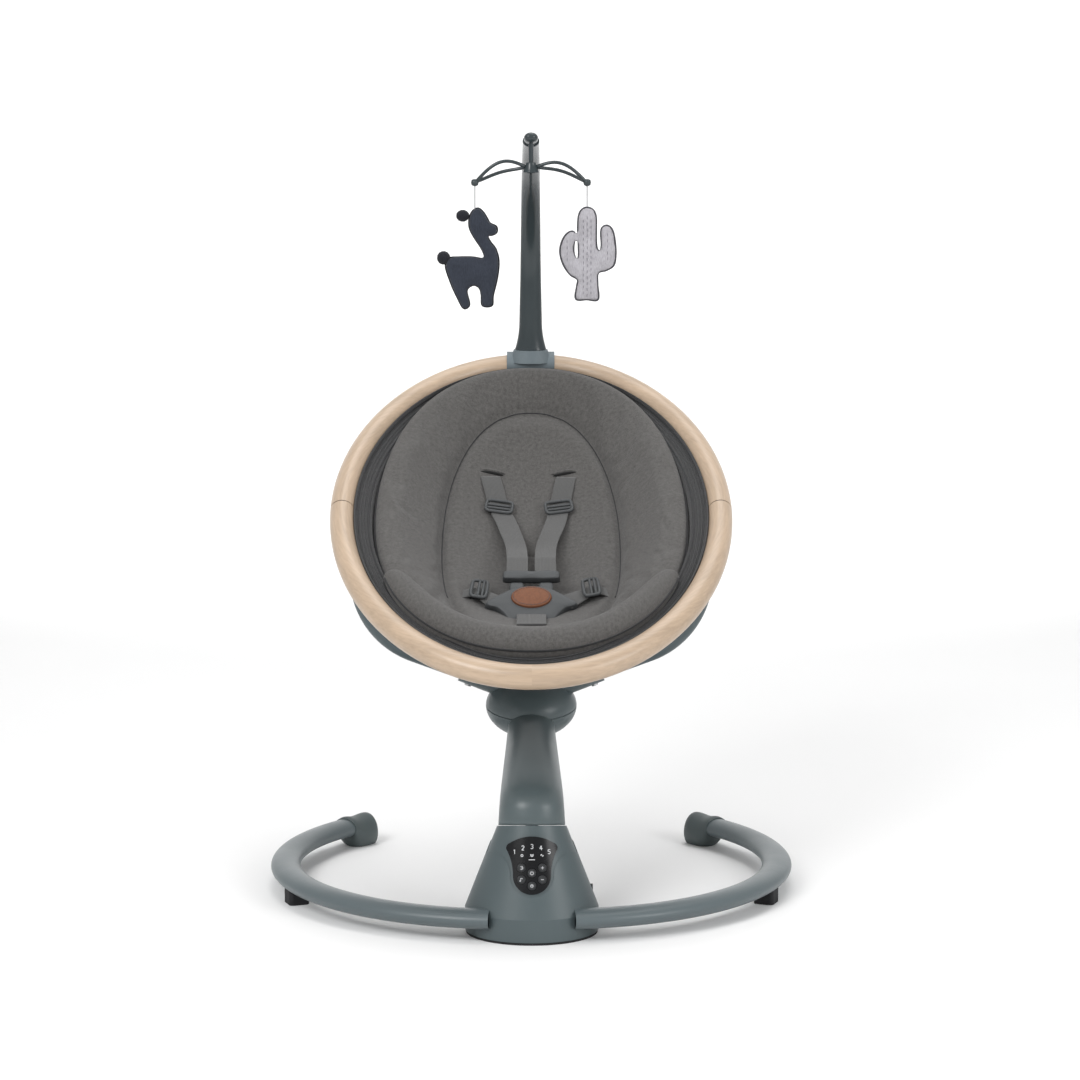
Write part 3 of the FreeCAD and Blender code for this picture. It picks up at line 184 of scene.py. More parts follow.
def smooth_path(stops, count, closed=False):
    """A Catmull-Rom curve through the stops, resampled to evenly spaced points."""
    stops = np.asarray(stops, float)
    if closed:
        near = np.concatenate([stops[-1:], stops, stops[:2]])
    else:
        near = np.concatenate([2 * stops[:1] - stops[1:2], stops, 2 * stops[-1:] - stops[-2:-1]])
    t = np.linspace(0, 1, 24, endpoint=False)[:, None]
    spans = []
    for i in range(1, len(near) - 2):
        a, b, c, d = near[i - 1:i + 3]
        spans.append(0.5 * (2 * b + (c - a) * t + (2 * a - 5 * b + 4 * c - d) * t ** 2
                            + (3 * b - a - 3 * c + d) * t ** 3))
    line = np.concatenate(spans + ([spans[0][:1]] if closed else [stops[-1:]]))
    along = np.concatenate([[0], np.cumsum(np.linalg.norm(np.diff(line, axis=0), axis=1))])
    at = np.linspace(0, along[-1], count, endpoint=not closed)
    return np.stack([np.interp(at, along, line[:, k]) for k in range(line.shape[1])], 1)


# ---- Materials ----
class Finish:
    """A procedural material: one shader with noise, weave or grain added to it."""

    def __init__(self, name, colour, rough, **sockets):
        self.made = bpy.data.materials.new(name)
        self.made.use_nodes = True
        self.nodes = self.made.node_tree.nodes
        self.links = self.made.node_tree.links
        self.shader = self.nodes["Principled BSDF"]
        self.colour = colour
        self.shader.inputs["Base Color"].default_value = (*colour, 1)
        self.shader.inputs["Roughness"].default_value = rough
        for socket, value in sockets.items():
            self.shader.inputs[socket.replace("_", " ")].default_value = value
        self.height = None

    def node(self, kind, **values):
        made = self.nodes.new("ShaderNode" + kind)
        for key, value in values.items():
            if key in made.inputs:
                made.inputs[key].default_value = value
            else:
                setattr(made, key, value)
        return made

    def place(self, uv=False, stretch=(1, 1, 1), turn=(0, 0, 0), move=(0, 0, 0)):
        """Object coordinates, or the piece's own weave map, moved, turned and stretched."""
        if uv:
            source = self.node("UVMap", uv_map="weave").outputs["UV"]
        else:
            source = self.node("TexCoord").outputs["Object"]
        mapping = self.node("Mapping", Location=move, Rotation=turn, Scale=stretch)
        self.links.new(source, mapping.inputs["Vector"])
        return mapping.outputs["Vector"]

    def noise(self, where, scale, detail=3.0, rough=0.5):
        made = self.node("TexNoise", Scale=scale, Detail=detail, Roughness=rough)
        self.links.new(where, made.inputs["Vector"])
        return made.outputs["Fac"]

    def wave(self, where, pitch, direction, sway=0.0):
        """Even ridges: a sine with the given pitch in metres."""
        made = self.node("TexWave", bands_direction=direction, wave_profile="SIN",
                         Scale=2 * math.pi / 20 / pitch, Distortion=sway)
        self.links.new(where, made.inputs["Vector"])
        return made.outputs["Fac"]

    def sum(self, first, second, how="ADD"):
        made = self.node("Math", operation=how)
        for socket, value in zip(made.inputs, (first, second)):
            if hasattr(value, "is_linked"):
                self.links.new(value, socket)
            else:
                socket.default_value = value
        return made.outputs["Value"]

    def tint(self, factor, dark, light, low=0.3, high=0.7):
        """Colour from one shade to another by a factor."""
        made = self.node("ValToRGB")
        made.color_ramp.elements[0].position = low
        made.color_ramp.elements[1].position = high
        made.color_ramp.elements[0].color = (*[c * dark for c in self.colour], 1)
        made.color_ramp.elements[1].color = (*[min(1, c * light) for c in self.colour], 1)
        self.links.new(factor, made.inputs["Fac"])
        self.links.new(made.outputs["Color"], self.shader.inputs["Base Color"])
        return made

    def rough_by(self, factor, low, high):
        made = self.node("MapRange")
        made.inputs["To Min"].default_value = low
        made.inputs["To Max"].default_value = high
        self.links.new(factor, made.inputs["Value"])
        self.links.new(made.outputs["Result"], self.shader.inputs["Roughness"])

    def bump(self, height, depth, strength=1.0):
        """Adds relief of a depth in metres."""
        made = self.node("Bump", Strength=strength, Distance=depth)
        self.links.new(height, made.inputs["Height"])
        if self.height is not None:
            self.links.new(self.height, made.inputs["Normal"])
        self.height = made.outputs["Normal"]
        self.links.new(self.height, self.shader.inputs["Normal"])


def moulded(name, colour, rough=0.5, texture=0.00005):
    """Moulded plastic: fine spark texture, faint flow shading and uneven gloss."""
    made = Finish(name, colour, rough, Specular_IOR_Level=0.45)
    where = made.place()
    flow = made.noise(where, 9.0, 2.0)
    fine = made.noise(where, 1500.0, 2.0)
    made.tint(flow, 0.94, 1.06)
    made.rough_by(made.sum(made.sum(flow, 0.6, "MULTIPLY"), made.sum(fine, 0.4, "MULTIPLY")),
                  rough - 0.07, rough + 0.08)
    made.bump(fine, texture)
    return made.made


def coated(name, colour, rough=0.4):
    """Powder-coated steel: soft orange peel over a satin base."""
    made = Finish(name, colour, rough, Specular_IOR_Level=0.5, Coat_Weight=0.15, Coat_Roughness=0.3)
    where = made.place()
    made.tint(made.noise(where, 6.0, 2.0), 0.95, 1.05)
    made.rough_by(made.noise(where, 40.0), rough - 0.06, rough + 0.08)
    made.bump(made.noise(where, 600.0, 2.0), 0.00006)
    return made.made


def gloss(name, colour, rough=0.12, shine=0.5):
    """Polished plastic with faint smudges."""
    made = Finish(name, colour, rough, Specular_IOR_Level=shine)
    where = made.place()
    made.tint(made.noise(where, 30.0), 0.85, 1.15)
    made.rough_by(made.noise(where, 60.0, 4.0), rough - 0.04, rough + 0.1)
    return made.made


def rubbery(name, colour):
    """Soft rubber: dull, finely grained."""
    made = Finish(name, colour, 0.75, Specular_IOR_Level=0.3)
    where = made.place()
    made.tint(made.noise(where, 50.0), 0.8, 1.2)
    made.bump(made.noise(where, 900.0), 0.0001)
    return made.made


def metal(name, colour, rough=0.35):
    """Bare metal with fine turning marks."""
    made = Finish(name, colour, rough, Metallic=1.0)
    where = made.place(stretch=(1, 1, 12))
    made.tint(made.noise(where, 60.0), 0.85, 1.1)
    made.rough_by(made.noise(where, 400.0), rough - 0.1, rough + 0.1)
    return made.made


def turned(point, angle):
    """A point turned about X."""
    c, s = math.cos(angle), math.sin(angle)
    return np.array([point[0], point[1] * c - point[2] * s, point[1] * s + point[2] * c])


def beech(name, colour):
    """Lacquered light wood. The grain runs round the ring: noise on (angle, radius, height)
    is stretched along the angle, with short dark flecks and broad warm bands."""
    made = Finish(name, colour, 0.38, Specular_IOR_Level=0.45, Coat_Weight=0.25, Coat_Roughness=0.25)
    flat = made.place(turn=(-TILT, 0, 0), move=tuple(-turned(CENTRE, -TILT)))
    parts = made.node("SeparateXYZ")
    made.links.new(flat, parts.inputs["Vector"])
    angle = made.sum(parts.outputs["X"], parts.outputs["Y"], "ARCTAN2")
    span = made.sum(made.sum(parts.outputs["X"], 2.0, "POWER"),
                    made.sum(parts.outputs["Y"], 2.0, "POWER"))
    radius = made.sum(span, 0.5, "POWER")
    where = made.node("CombineXYZ")
    made.links.new(made.sum(angle, 0.02, "MULTIPLY"), where.inputs["X"])
    made.links.new(radius, where.inputs["Y"])
    made.links.new(parts.outputs["Z"], where.inputs["Z"])
    fibre = made.noise(where.outputs["Vector"], 420.0, 5.0, 0.6)
    broad = made.noise(where.outputs["Vector"], 60.0, 2.0)
    mixed = made.sum(made.sum(fibre, 0.55, "MULTIPLY"), made.sum(broad, 0.45, "MULTIPLY"))
    made.tint(mixed, 0.82, 1.1, 0.34, 0.66)
    made.rough_by(fibre, 0.3, 0.46)
    made.bump(fibre, 0.00008)
    return made.made


def woven(name, colour, pitch=THREAD, relief=0.00025, dark=0.55, light=1.35, sheen=0.2):
    """Plain melange weave on the piece's own map: warp and weft ridges, flecks of two yarns."""
    made = Finish(name, colour, 0.92, Specular_IOR_Level=0.15, Sheen_Weight=sheen, Sheen_Roughness=0.5)
    where = made.place(uv=True)
    warp = made.wave(where, pitch, "X", 0.6)
    weft = made.wave(where, pitch, "Y", 0.6)
    cloth = made.sum(warp, weft, "MULTIPLY")
    fleck = made.noise(where, 640.0, 4.0, 0.65)
    patch = made.noise(where, 230.0, 5.0, 0.6)
    mixed = made.sum(made.sum(fleck, 0.42, "MULTIPLY"),
                     made.sum(made.sum(cloth, 0.12, "MULTIPLY"), made.sum(patch, 0.44, "MULTIPLY")))
    made.tint(mixed, dark, light, 0.3, 0.68)
    made.bump(made.sum(cloth, made.sum(fleck, 0.6, "MULTIPLY")), relief)
    return made.made


def webbing(name, colour):
    """Ribbed webbing: lengthwise ridges crossed by finer weft."""
    made = Finish(name, colour, 0.8, Specular_IOR_Level=0.25, Sheen_Weight=0.25)
    where = made.place(uv=True)
    rib = made.wave(where, 0.0016, "X")
    weft = made.wave(where, 0.0009, "Y", 0.4)
    made.tint(made.sum(made.sum(rib, 0.5, "MULTIPLY"), made.sum(weft, 0.4, "MULTIPLY")), 0.85, 1.12)
    made.bump(made.sum(rib, made.sum(weft, 0.5, "MULTIPLY")), 0.0002)
    return made.made


def felt(name, colour, relief=0.0004, sheen=0.3):
    """Soft brushed cloth on Object coordinates: fibres and a light nap."""
    made = Finish(name, colour, 0.95, Specular_IOR_Level=0.1, Sheen_Weight=sheen, Sheen_Roughness=0.6)
    where = made.place()
    fibre = made.noise(made.place(stretch=(1, 1, 0.25)), 900.0, 4.0, 0.7)
    made.tint(made.sum(made.sum(fibre, 0.7, "MULTIPLY"),
                       made.sum(made.noise(where, 60.0), 0.3, "MULTIPLY")), 0.7, 1.3)
    made.bump(fibre, relief)
    return made.made


def leather(name, colour):
    """Tanned leather: pebbled grain with creases, and tone that varies at random."""
    made = Finish(name, colour, 0.5, Specular_IOR_Level=0.4)
    where = made.place()
    cell = made.node("TexVoronoi", Scale=900.0, feature="DISTANCE_TO_EDGE")
    made.links.new(where, cell.inputs["Vector"])
    made.tint(made.noise(where, 420.0, 4.0), 0.85, 1.15)
    made.bump(cell.outputs["Distance"], 0.00025)
    made.rough_by(made.noise(where, 300.0), 0.4, 0.6)
    return made.made


HOUSING = moulded("housing grey", (0.070, 0.092, 0.098), 0.38)
ARM = moulded("arm grey", (0.082, 0.105, 0.110), 0.36)
CAP = moulded("cap grey", (0.066, 0.084, 0.086), 0.5)
DARK = moulded("charcoal plastic", (0.040, 0.043, 0.046), 0.5)
BUCKLE = moulded("buckle grey", (0.058, 0.062, 0.065), 0.5)
BAR = moulded("bar slate", (0.030, 0.040, 0.044), 0.2)
COLLAR = moulded("collar grey", (0.130, 0.160, 0.175), 0.5)
LEG = coated("leg coat", (0.088, 0.112, 0.120))
YOKE = coated("yoke coat", (0.058, 0.080, 0.088))
PANEL = gloss("panel black", (0.006, 0.0065, 0.0075), 0.2, 0.25)
KEY = gloss("key black", (0.026, 0.028, 0.030), 0.3, 0.4)
RUBBER = rubbery("sole rubber", (0.016, 0.016, 0.018))
STEEL = metal("turned steel", (0.52, 0.52, 0.53))
MAGNET = metal("nickel", (0.42, 0.42, 0.44), 0.25)
COPPER = metal("enamelled copper", (0.60, 0.25, 0.10), 0.3)
BOARD = moulded("solder mask", (0.01, 0.09, 0.035), 0.35)
INNER = moulded("inner plastic", (0.07, 0.07, 0.075), 0.55)
WOOD = beech("light wood", (0.460, 0.345, 0.245))
PAD = woven("pad weave", (0.104, 0.100, 0.096))
PANEL_CLOTH = woven("panel weave", (0.092, 0.089, 0.086))
LINER = woven("liner mesh", (0.058, 0.058, 0.060), 0.0016, 0.0004)
PIPING = woven("piping cloth", (0.035, 0.035, 0.037), 0.0008)
STRAP = webbing("harness webbing", (0.086, 0.086, 0.085))
LEATHER = leather("tan leather", (0.170, 0.062, 0.026))
FELT = felt("blue grey felt", (0.030, 0.035, 0.048), sheen=0.12)
FELT_DARK = felt("dark felt", (0.015, 0.016, 0.021), 0.0006, sheen=0.1)
JERSEY = felt("pale jersey", (0.360, 0.350, 0.375), 0.0002)
STITCH = felt("grey thread", (0.150, 0.145, 0.160), 0.0001)
EDGING = felt("dark edging", (0.060, 0.058, 0.068), 0.0003)
CORD = felt("white cord", (0.42, 0.42, 0.43), 0.0002)
PRINT = moulded("pale print", (0.55, 0.56, 0.57), 0.5)
# Near black and rough: painted shade inside the strap slits, not a colour of the seat itself.
SLOT_PAINTED_SHADE = moulded("painted slot shade", (0.006, 0.006, 0.006), 0.9)


def finish_nodes():
    """Gives every CAD node that stays its own finish."""
    both = ("left", "right")
    finishes = {
        HOUSING: ["housing_shell", "housing_plinth", "keypad_neck"],
        ARM: ["arm_shell", "hub_bowl", "hub_cover"] + [f"pivot_housing_{s}" for s in both]
        + [f"ring_bracket_{s}" for s in both],
        CAP: [f"leg_cap_{s}" for s in both] + [f"recline_button_{s}" for s in both],
        LEG: [f"leg_tube_{s}" for s in both],
        YOKE: [f"yoke_tube_{s}" for s in both],
        PANEL: ["keypad_panel"],
        KEY: [f"keypad_button_{i}" for i in range(1, 7)],
        RUBBER: ["base_sole"] + [f"leg_foot_{s}" for s in both],
        STEEL: ["axle_bearings", "swing_axle"] + [f"snap_button_{s}" for s in both],
        MAGNET: ["drive_magnet"],
        COPPER: ["drive_coil"],
        BOARD: ["control_board"],
        INNER: ["bearing_pedestal"],
        DARK: ["power_inlet", "speaker", "ring_joiners"],
        WOOD: ["ring_front", "ring_rear"],
        COLLAR: ["toy_bar_socket"],
        BAR: ["toy_bar_lower", "toy_bar_upper", "toy_hanger"],
    }
    for material, names in finishes.items():
        for name in names:
            data = frame["nodes"][name].data
            data.materials.clear()
            data.materials.append(material)


# ---- Padded seat ----
def edge_reach(angle, head, foot, wide, power=2.2):
    """Radius of a soft oval at an angle from the head: a superellipse whose two ends differ."""
    long = np.where(np.cos(angle) > 0, head, foot)
    return (np.abs(np.cos(angle) / long) ** power + np.abs(np.sin(angle) / wide) ** power) ** (-1 / power)


def rim_level(angle):
    """Height of the pad's rim, raised behind the head by the square of the cosine."""
    return PAD_RIM_LEVEL + PAD_HEAD_LIFT * np.clip(np.cos(angle), 0, 1) ** 2


def pad_level(share, angle):
    """Height of the pad's top at a share of its reach: a bowl that rises faster to its rim."""
    low = PAD_RIM_LEVEL - PAD_DEPTH
    return low + (rim_level(angle) - low) * share ** 2.6


def quilting(radius, angle, reach):
    """Swell of the filling: it rises from the panel's seam as 1 - exp(-distance) on both sides and
    falls again at the rim."""
    gap = radius - edge_reach(angle, PANEL_HEAD, PANEL_FOOT, PANEL_HALF_WIDTH, 2.3)
    band = 0.0075 * (1 - np.exp(-np.clip(gap, 0, 1) / 0.011))
    panel = 0.0040 * (1 - np.exp(-np.clip(-gap, 0, 1) / 0.013))
    return (band + panel) * (1 - np.exp(-np.clip(reach - radius, 0, 1) / 0.010))


def pad_points(around, steps):
    """The closed pad as rings: along the top from the middle, round the rim, back underneath.
    The rim is half a circle as thick as the pad."""
    half = PAD_THICKNESS / 2
    angle = np.linspace(0, 2 * math.pi, around, endpoint=False)[None, :]
    reach = edge_reach(angle, PAD_HEAD, PAD_FOOT, PAD_HALF_WIDTH)
    share = np.linspace(0.02, 1, steps)[:, None]
    inner = 1 - half / reach
    top_share = share * inner
    base = pad_level(share, angle)
    top = base + quilting(top_share * reach, angle, inner * reach)
    turn = np.linspace(0, math.pi, 9)[1:-1, None]
    rim_out = inner + half / reach * np.sin(turn)
    rim = rim_level(angle) - half + half * np.cos(turn)
    shares = np.concatenate([top_share, rim_out, top_share[::-1]])
    levels = np.concatenate([top, rim, (base - 2 * half)[::-1]])
    radius = shares * reach
    u, x = radius * np.cos(angle), radius * np.sin(angle)
    return seat(u, x, levels), u, x


def seam_distance(u, x):
    """Signed distance, roughly, to the sewn oval of the inner panel, positive outside it."""
    angle = np.arctan2(x, u)
    return np.hypot(u, x) - edge_reach(angle, PANEL_HEAD, PANEL_FOOT, PANEL_HALF_WIDTH, 2.3)


def puff(made, held, pressure, cap, frames=20):
    """Blows a closed piece up as cloth with the held points fixed, and caps how far it moves."""
    mesh = made.data
    start = np.zeros(len(mesh.vertices) * 3)
    mesh.vertices.foreach_get("co", start)
    group = made.vertex_groups.new(name="held")
    for index in np.flatnonzero(held):
        group.add([int(index)], 1.0, "REPLACE")
    cloth = made.modifiers.new("puff", "CLOTH")
    rules = cloth.settings
    rules.quality = 5
    rules.mass = 0.25
    rules.tension_stiffness = rules.compression_stiffness = 12
    rules.shear_stiffness = 5
    rules.bending_stiffness = 0.3
    rules.use_pressure = True
    rules.uniform_pressure_force = pressure
    rules.vertex_group_mass = "held"
    rules.effector_weights.gravity = 0
    scene = bpy.context.scene
    for number in range(1, frames + 1):
        scene.frame_set(number)
    shown = made.evaluated_get(bpy.context.evaluated_depsgraph_get())
    end = np.zeros_like(start)
    shown.data.vertices.foreach_get("co", end)
    move = (end - start).reshape(-1, 3)
    length = np.linalg.norm(move, axis=1)[:, None] + 1e-12
    move *= np.minimum(length, cap) / length
    made.modifiers.remove(cloth)
    made.vertex_groups.clear()
    mesh.vertices.foreach_set("co", (start + move.ravel()))
    scene.frame_set(1)
    mesh.update()
    return made


def make_pad():
    """The padded insert: a soft bowl, puffed between its rim and the seam of the inner panel,
    with the seam then pressed in as a narrow valley."""
    around, steps = 168, 56
    points, u, x = pad_points(around, steps)
    vertices, faces = closed_grid(points)
    flat_u = np.concatenate([u.ravel(), [0, 0]])
    flat_x = np.concatenate([x.ravel(), [0, 0]])
    made = piece("seat_cushion", vertices, faces, "seat", "pad_fabric", PAD,
                 uv=np.stack([flat_x, flat_u], 1))
    outward(made)
    below = np.concatenate([np.repeat(np.arange(len(points)) > steps + 3, around), [False, True]])
    gap = seam_distance(flat_u, flat_x)
    held = below | ((np.abs(gap) < 0.0045) & ~below)
    puff(made, held, 2.5, 0.005)
    press_seam(made, gap, below)
    subdivide(made)
    return made


def press_seam(made, gap, below):
    """Moves the top down by a narrow bell over the seam."""
    mesh = made.data
    place = np.zeros(len(mesh.vertices) * 3)
    mesh.vertices.foreach_get("co", place)
    valley = -0.0036 * np.exp(-(gap / 0.0030) ** 2)
    valley[below] = 0
    place = place.reshape(-1, 3) + valley[:, None] * OUT
    mesh.vertices.foreach_set("co", place.ravel())
    mesh.update()


def surface_of(*made):
    """A tree of the shown faces of some pieces, to drop other pieces on."""
    points, faces, base = [], [], 0
    graph = bpy.context.evaluated_depsgraph_get()
    for one in made:
        mesh = one.evaluated_get(graph).to_mesh()
        points += [tuple(v.co) for v in mesh.vertices]
        faces += [[i + base for i in p.vertices] for p in mesh.polygons]
        base = len(points)
    return BVHTree.FromPolygons(points, faces)


def drop(tree, u, x):
    """The points where lines square to the ring meet the pad's top, and its normals there."""
    places, normals = [], []
    for one_u, one_x in zip(np.ravel(u), np.ravel(x)):
        start = Vector(seat(one_u, one_x, 0.09))
        hit, normal, _, _ = tree.ray_cast(start, Vector(-OUT))
        if hit is None:
            hit, normal = Vector(seat(one_u, one_x, PAD_RIM_LEVEL)), Vector(OUT)
        places.append(hit)
        normals.append(normal if normal.dot(Vector(OUT)) > 0 else -normal)
    return np.array(places, float), np.array(normals, float)


def roll_section(angle):
    """Middle radius, half width and half height of the front roll at an angle: full in the middle
    and drawn in at both corners, (1 - t^4)^(1/2) with t the share of the way to a corner."""
    reach = edge_reach(angle, PAD_HEAD, PAD_FOOT, PAD_HALF_WIDTH)
    swell = np.sqrt(np.clip(1 - np.abs((angle - math.pi) / ROLL_HALF_ANGLE) ** 4, 0, 1))
    across = 0.005 + 0.018 * swell
    high = 0.004 + 0.015 * swell
    return reach - across + 0.004 + 0.006 * swell, across, high, swell


def roll_point(angle, turn):
    """A point of the roll's skin, `turn` round its section from the outer side."""
    middle, across, high, swell = roll_section(angle)
    radius = middle + across * np.cos(turn)
    return seat(radius * np.cos(angle), radius * np.sin(angle),
                PAD_RIM_LEVEL - 0.001 - 0.005 * swell + high * np.sin(turn))


def make_roll():
    """The roll over the front of the seat: an oval tube along the pad's front edge, thick in the
    middle and drawn in at both corners."""
    count, around = 96, 36
    angle = np.linspace(math.pi - ROLL_HALF_ANGLE, math.pi + ROLL_HALF_ANGLE, count)[:, None]
    turn = np.linspace(0, 2 * math.pi, around, endpoint=False)[None]
    swell = roll_section(angle)[3][:, 0]
    vertices, faces = closed_grid(roll_point(angle, turn))
    girth, length = np.broadcast_arrays(turn * 0.02, angle * 0.26)
    uv = np.concatenate([np.stack([girth, length], -1).reshape(-1, 2), [[0, 0], [0, 0]]])
    made = piece("front_roll", vertices, faces, "seat", "pad_fabric", PAD, uv=uv)
    outward(made)
    tight = np.concatenate([np.repeat(swell < 0.35, around), [True, True]])
    seam = np.concatenate([np.tile(np.abs(np.sin(turn[0] - math.pi)) < 0.12, count), [False, False]])
    puff(made, tight | seam, 2.5, 0.003)
    subdivide(made)
    return made


def make_roll_piping():
    """Two corded seams along the roll's outer side."""
    angle = np.linspace(math.pi - ROLL_HALF_ANGLE * 0.97, math.pi + ROLL_HALF_ANGLE * 0.97, 120)
    parts = []
    for turn, radius in ((0.42, 0.0013), (-0.08, 0.0017)):
        parts.append(tube(roll_point(angle, turn), radius, 8))
    vertices, faces = join(parts)
    uv = np.stack([np.arange(len(vertices)) * 0.0004, np.zeros(len(vertices))], 1)
    return outward(piece("roll_piping", vertices, faces, "seat", "pad_fabric", PIPING, uv=uv))


def make_seam_thread_and_shade(tree):
    """A dark line at the bottom of the inner panel's valley: partly the sewn thread, and partly painted shade
    in the valley.
    """
    angle = np.linspace(-math.pi + 0.72, math.pi - 0.72, 260)
    reach = edge_reach(angle, PANEL_HEAD, PANEL_FOOT, PANEL_HALF_WIDTH, 2.3)
    places, _ = drop(tree, reach * np.cos(angle), reach * np.sin(angle))
    # Dark piping cloth over the seam: the real thread, darkened further as painted shade of the valley.
    vertices, faces = tube(places + 0.0002 * OUT, 0.00075, 8)
    uv = np.stack([np.arange(len(vertices)) * 0.0004, np.zeros(len(vertices))], 1)
    return outward(piece("seam_thread_and_shade", vertices, faces, "seat", "pad_fabric", PIPING, uv=uv))


def liner_profile(steps):
    """The liner's section as (in from the ring's middle line, height): round the inside of the ring's
    tube, inwards as a ribbed band, then down the bucket as a quarter ellipse."""
    turn = np.linspace(0.35, -0.10, 10)
    lip = np.stack([(RING_TUBE + 0.0008) * np.cos(turn), (RING_TUBE + 0.0008) * np.sin(turn)], 1)
    t = np.linspace(0, 1, 44)[1:]
    ribs = 0.0013 * np.sin(t * 9 * math.pi) * np.sin(np.clip(t * 1.05, 0, 1) * math.pi) ** 0.3
    band = np.stack([lip[-1, 0] + 0.0180 * t, -0.0016 - 0.0012 * t + ribs], 1)
    fall = np.sin(np.linspace(0, 1, steps - 53)[1:] * math.pi / 2)
    wall = np.stack([band[-1, 0] + 0.0004 + 0 * fall, -0.003 - fall * 0.1025], 1)
    shrink = np.concatenate([np.ones(53), np.sqrt(np.clip(1 - (fall * 0.998) ** 2, 0, 1))])
    return np.concatenate([lip, band, wall]), shrink


def liner_points(around, steps, inset):
    """The liner as rings: the profile carried round the oval and drawn in to the bottom."""
    angle = np.linspace(0, 2 * math.pi, around, endpoint=False)[None, :]
    profile, shrink = liner_profile(steps)
    shrink = shrink[:, None]
    away, level = profile[:, :1] + inset, profile[:, 1:] + inset * 0.4
    u = (RING_LONG - away) * shrink * np.cos(angle)
    x = (RING_WIDE - away) * shrink * np.sin(angle)
    return seat(u, x, level + 0 * angle)


def make_liner():
    """The dark liner between the ring and the pad: an outer and an inner skin 1.6 mm apart, joined
    round the top edge, with sewn bands that follow the ring."""
    around, steps = 160, 110
    outer, inner = (liner_points(around, steps, inset) for inset in (0.0, 0.0016))
    vertices, faces = closed_grid(np.concatenate([outer[::-1], inner]))
    arc = np.linspace(0, 0.3, steps)[:, None]
    girth = np.linspace(0, 1.6, around)[None]
    one = np.stack(np.broadcast_arrays(girth, arc), -1)
    uv = np.concatenate([one[::-1].reshape(-1, 2), one.reshape(-1, 2), [[0, 0], [0, 0]]])
    made = piece("seat_liner", vertices, faces, "seat", "liner_fabric", LINER, uv=uv)
    outward(made)
    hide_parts("seat_bucket", "liner_band")
    return made


def make_piping():
    """Two corded edges on the liner's sloping band."""
    parts = []
    angle = np.linspace(0, 2 * math.pi, 160, endpoint=False)
    for away, level, radius in ((0.0158, 0.0012, 0.0015), (0.0310, -0.0010, 0.0015)):
        wide, long = RING_WIDE - away, RING_LONG - away
        path = seat(long * np.cos(angle), wide * np.sin(angle), level + 0 * angle)
        parts.append(tube(path, radius, 10, closed=True))
    vertices, faces = join(parts)
    uv = np.stack([np.arange(len(vertices)) * 0.0004, np.zeros(len(vertices))], 1)
    return outward(piece("liner_piping", vertices, faces, "seat", "liner_fabric", PIPING, uv=uv))


def make_edge_cord():
    """The thin seam cord round the pad's rim and down beside the front roll."""
    angle = np.linspace(0, 2 * math.pi, 200, endpoint=False)
    reach = edge_reach(angle, PAD_HEAD, PAD_FOOT, PAD_HALF_WIDTH)
    path = seat(reach * np.cos(angle), reach * np.sin(angle), rim_level(angle) - 0.013)
    vertices, faces = tube(path, 0.0016, 8, closed=True)
    uv = np.stack([np.arange(len(vertices)) * 0.0004, np.zeros(len(vertices))], 1)
    return outward(piece("cushion_edge_cord", vertices, faces, "seat", "pad_fabric", PIPING, uv=uv))


# ---- Harness ----
def strap_line(tree, stops, count=64):
    """A strap's middle line through (u, x, lift) stops: dropped on the pad, then lifted off it."""
    flat = smooth_path(stops, count)
    places, normals = drop(tree, flat[:, 0], flat[:, 1])
    kernel = np.ones(15) / 15
    normals = np.pad(normals, ((7, 7), (0, 0)), mode="edge")
    normals = np.stack([np.convolve(normals[:, k], kernel, "valid") for k in range(3)], 1)
    normals /= np.linalg.norm(normals, axis=1)[:, None]
    line = np.pad(places + normals * flat[:, 2:], ((4, 4), (0, 0)), mode="edge")
    line = np.stack([np.convolve(line[:, k], np.ones(9) / 9, "valid") for k in range(3)], 1)
    return line, normals


def ribbon(line, normals, width, thickness):
    """A flat strap: an oblong section with rounded edges, carried along its line. The section is
    a superellipse of power 6."""
    ahead = np.gradient(line, axis=0)
    ahead /= np.linalg.norm(ahead, axis=1)[:, None]
    across = np.cross(ahead, normals)
    across /= np.linalg.norm(across, axis=1)[:, None]
    up = np.cross(across, ahead)
    turn = np.linspace(0, 2 * math.pi, 28, endpoint=False)
    cos, sin = np.cos(turn), np.sin(turn)
    flat = np.sign(cos) * np.abs(cos) ** (1 / 3) * width / 2
    high = np.sign(sin) * np.abs(sin) ** (1 / 3) * thickness / 2
    points = line[:, None] + across[:, None] * flat[None, :, None] + up[:, None] * high[None, :, None]
    vertices, faces = closed_grid(points)
    length = np.concatenate([[0], np.cumsum(np.linalg.norm(np.diff(line, axis=0), axis=1))])
    uv = np.stack(np.broadcast_arrays(flat[None], length[:, None]), -1).reshape(-1, 2)
    return vertices, faces, np.concatenate([uv, [[0, 0], [0, 0]]])


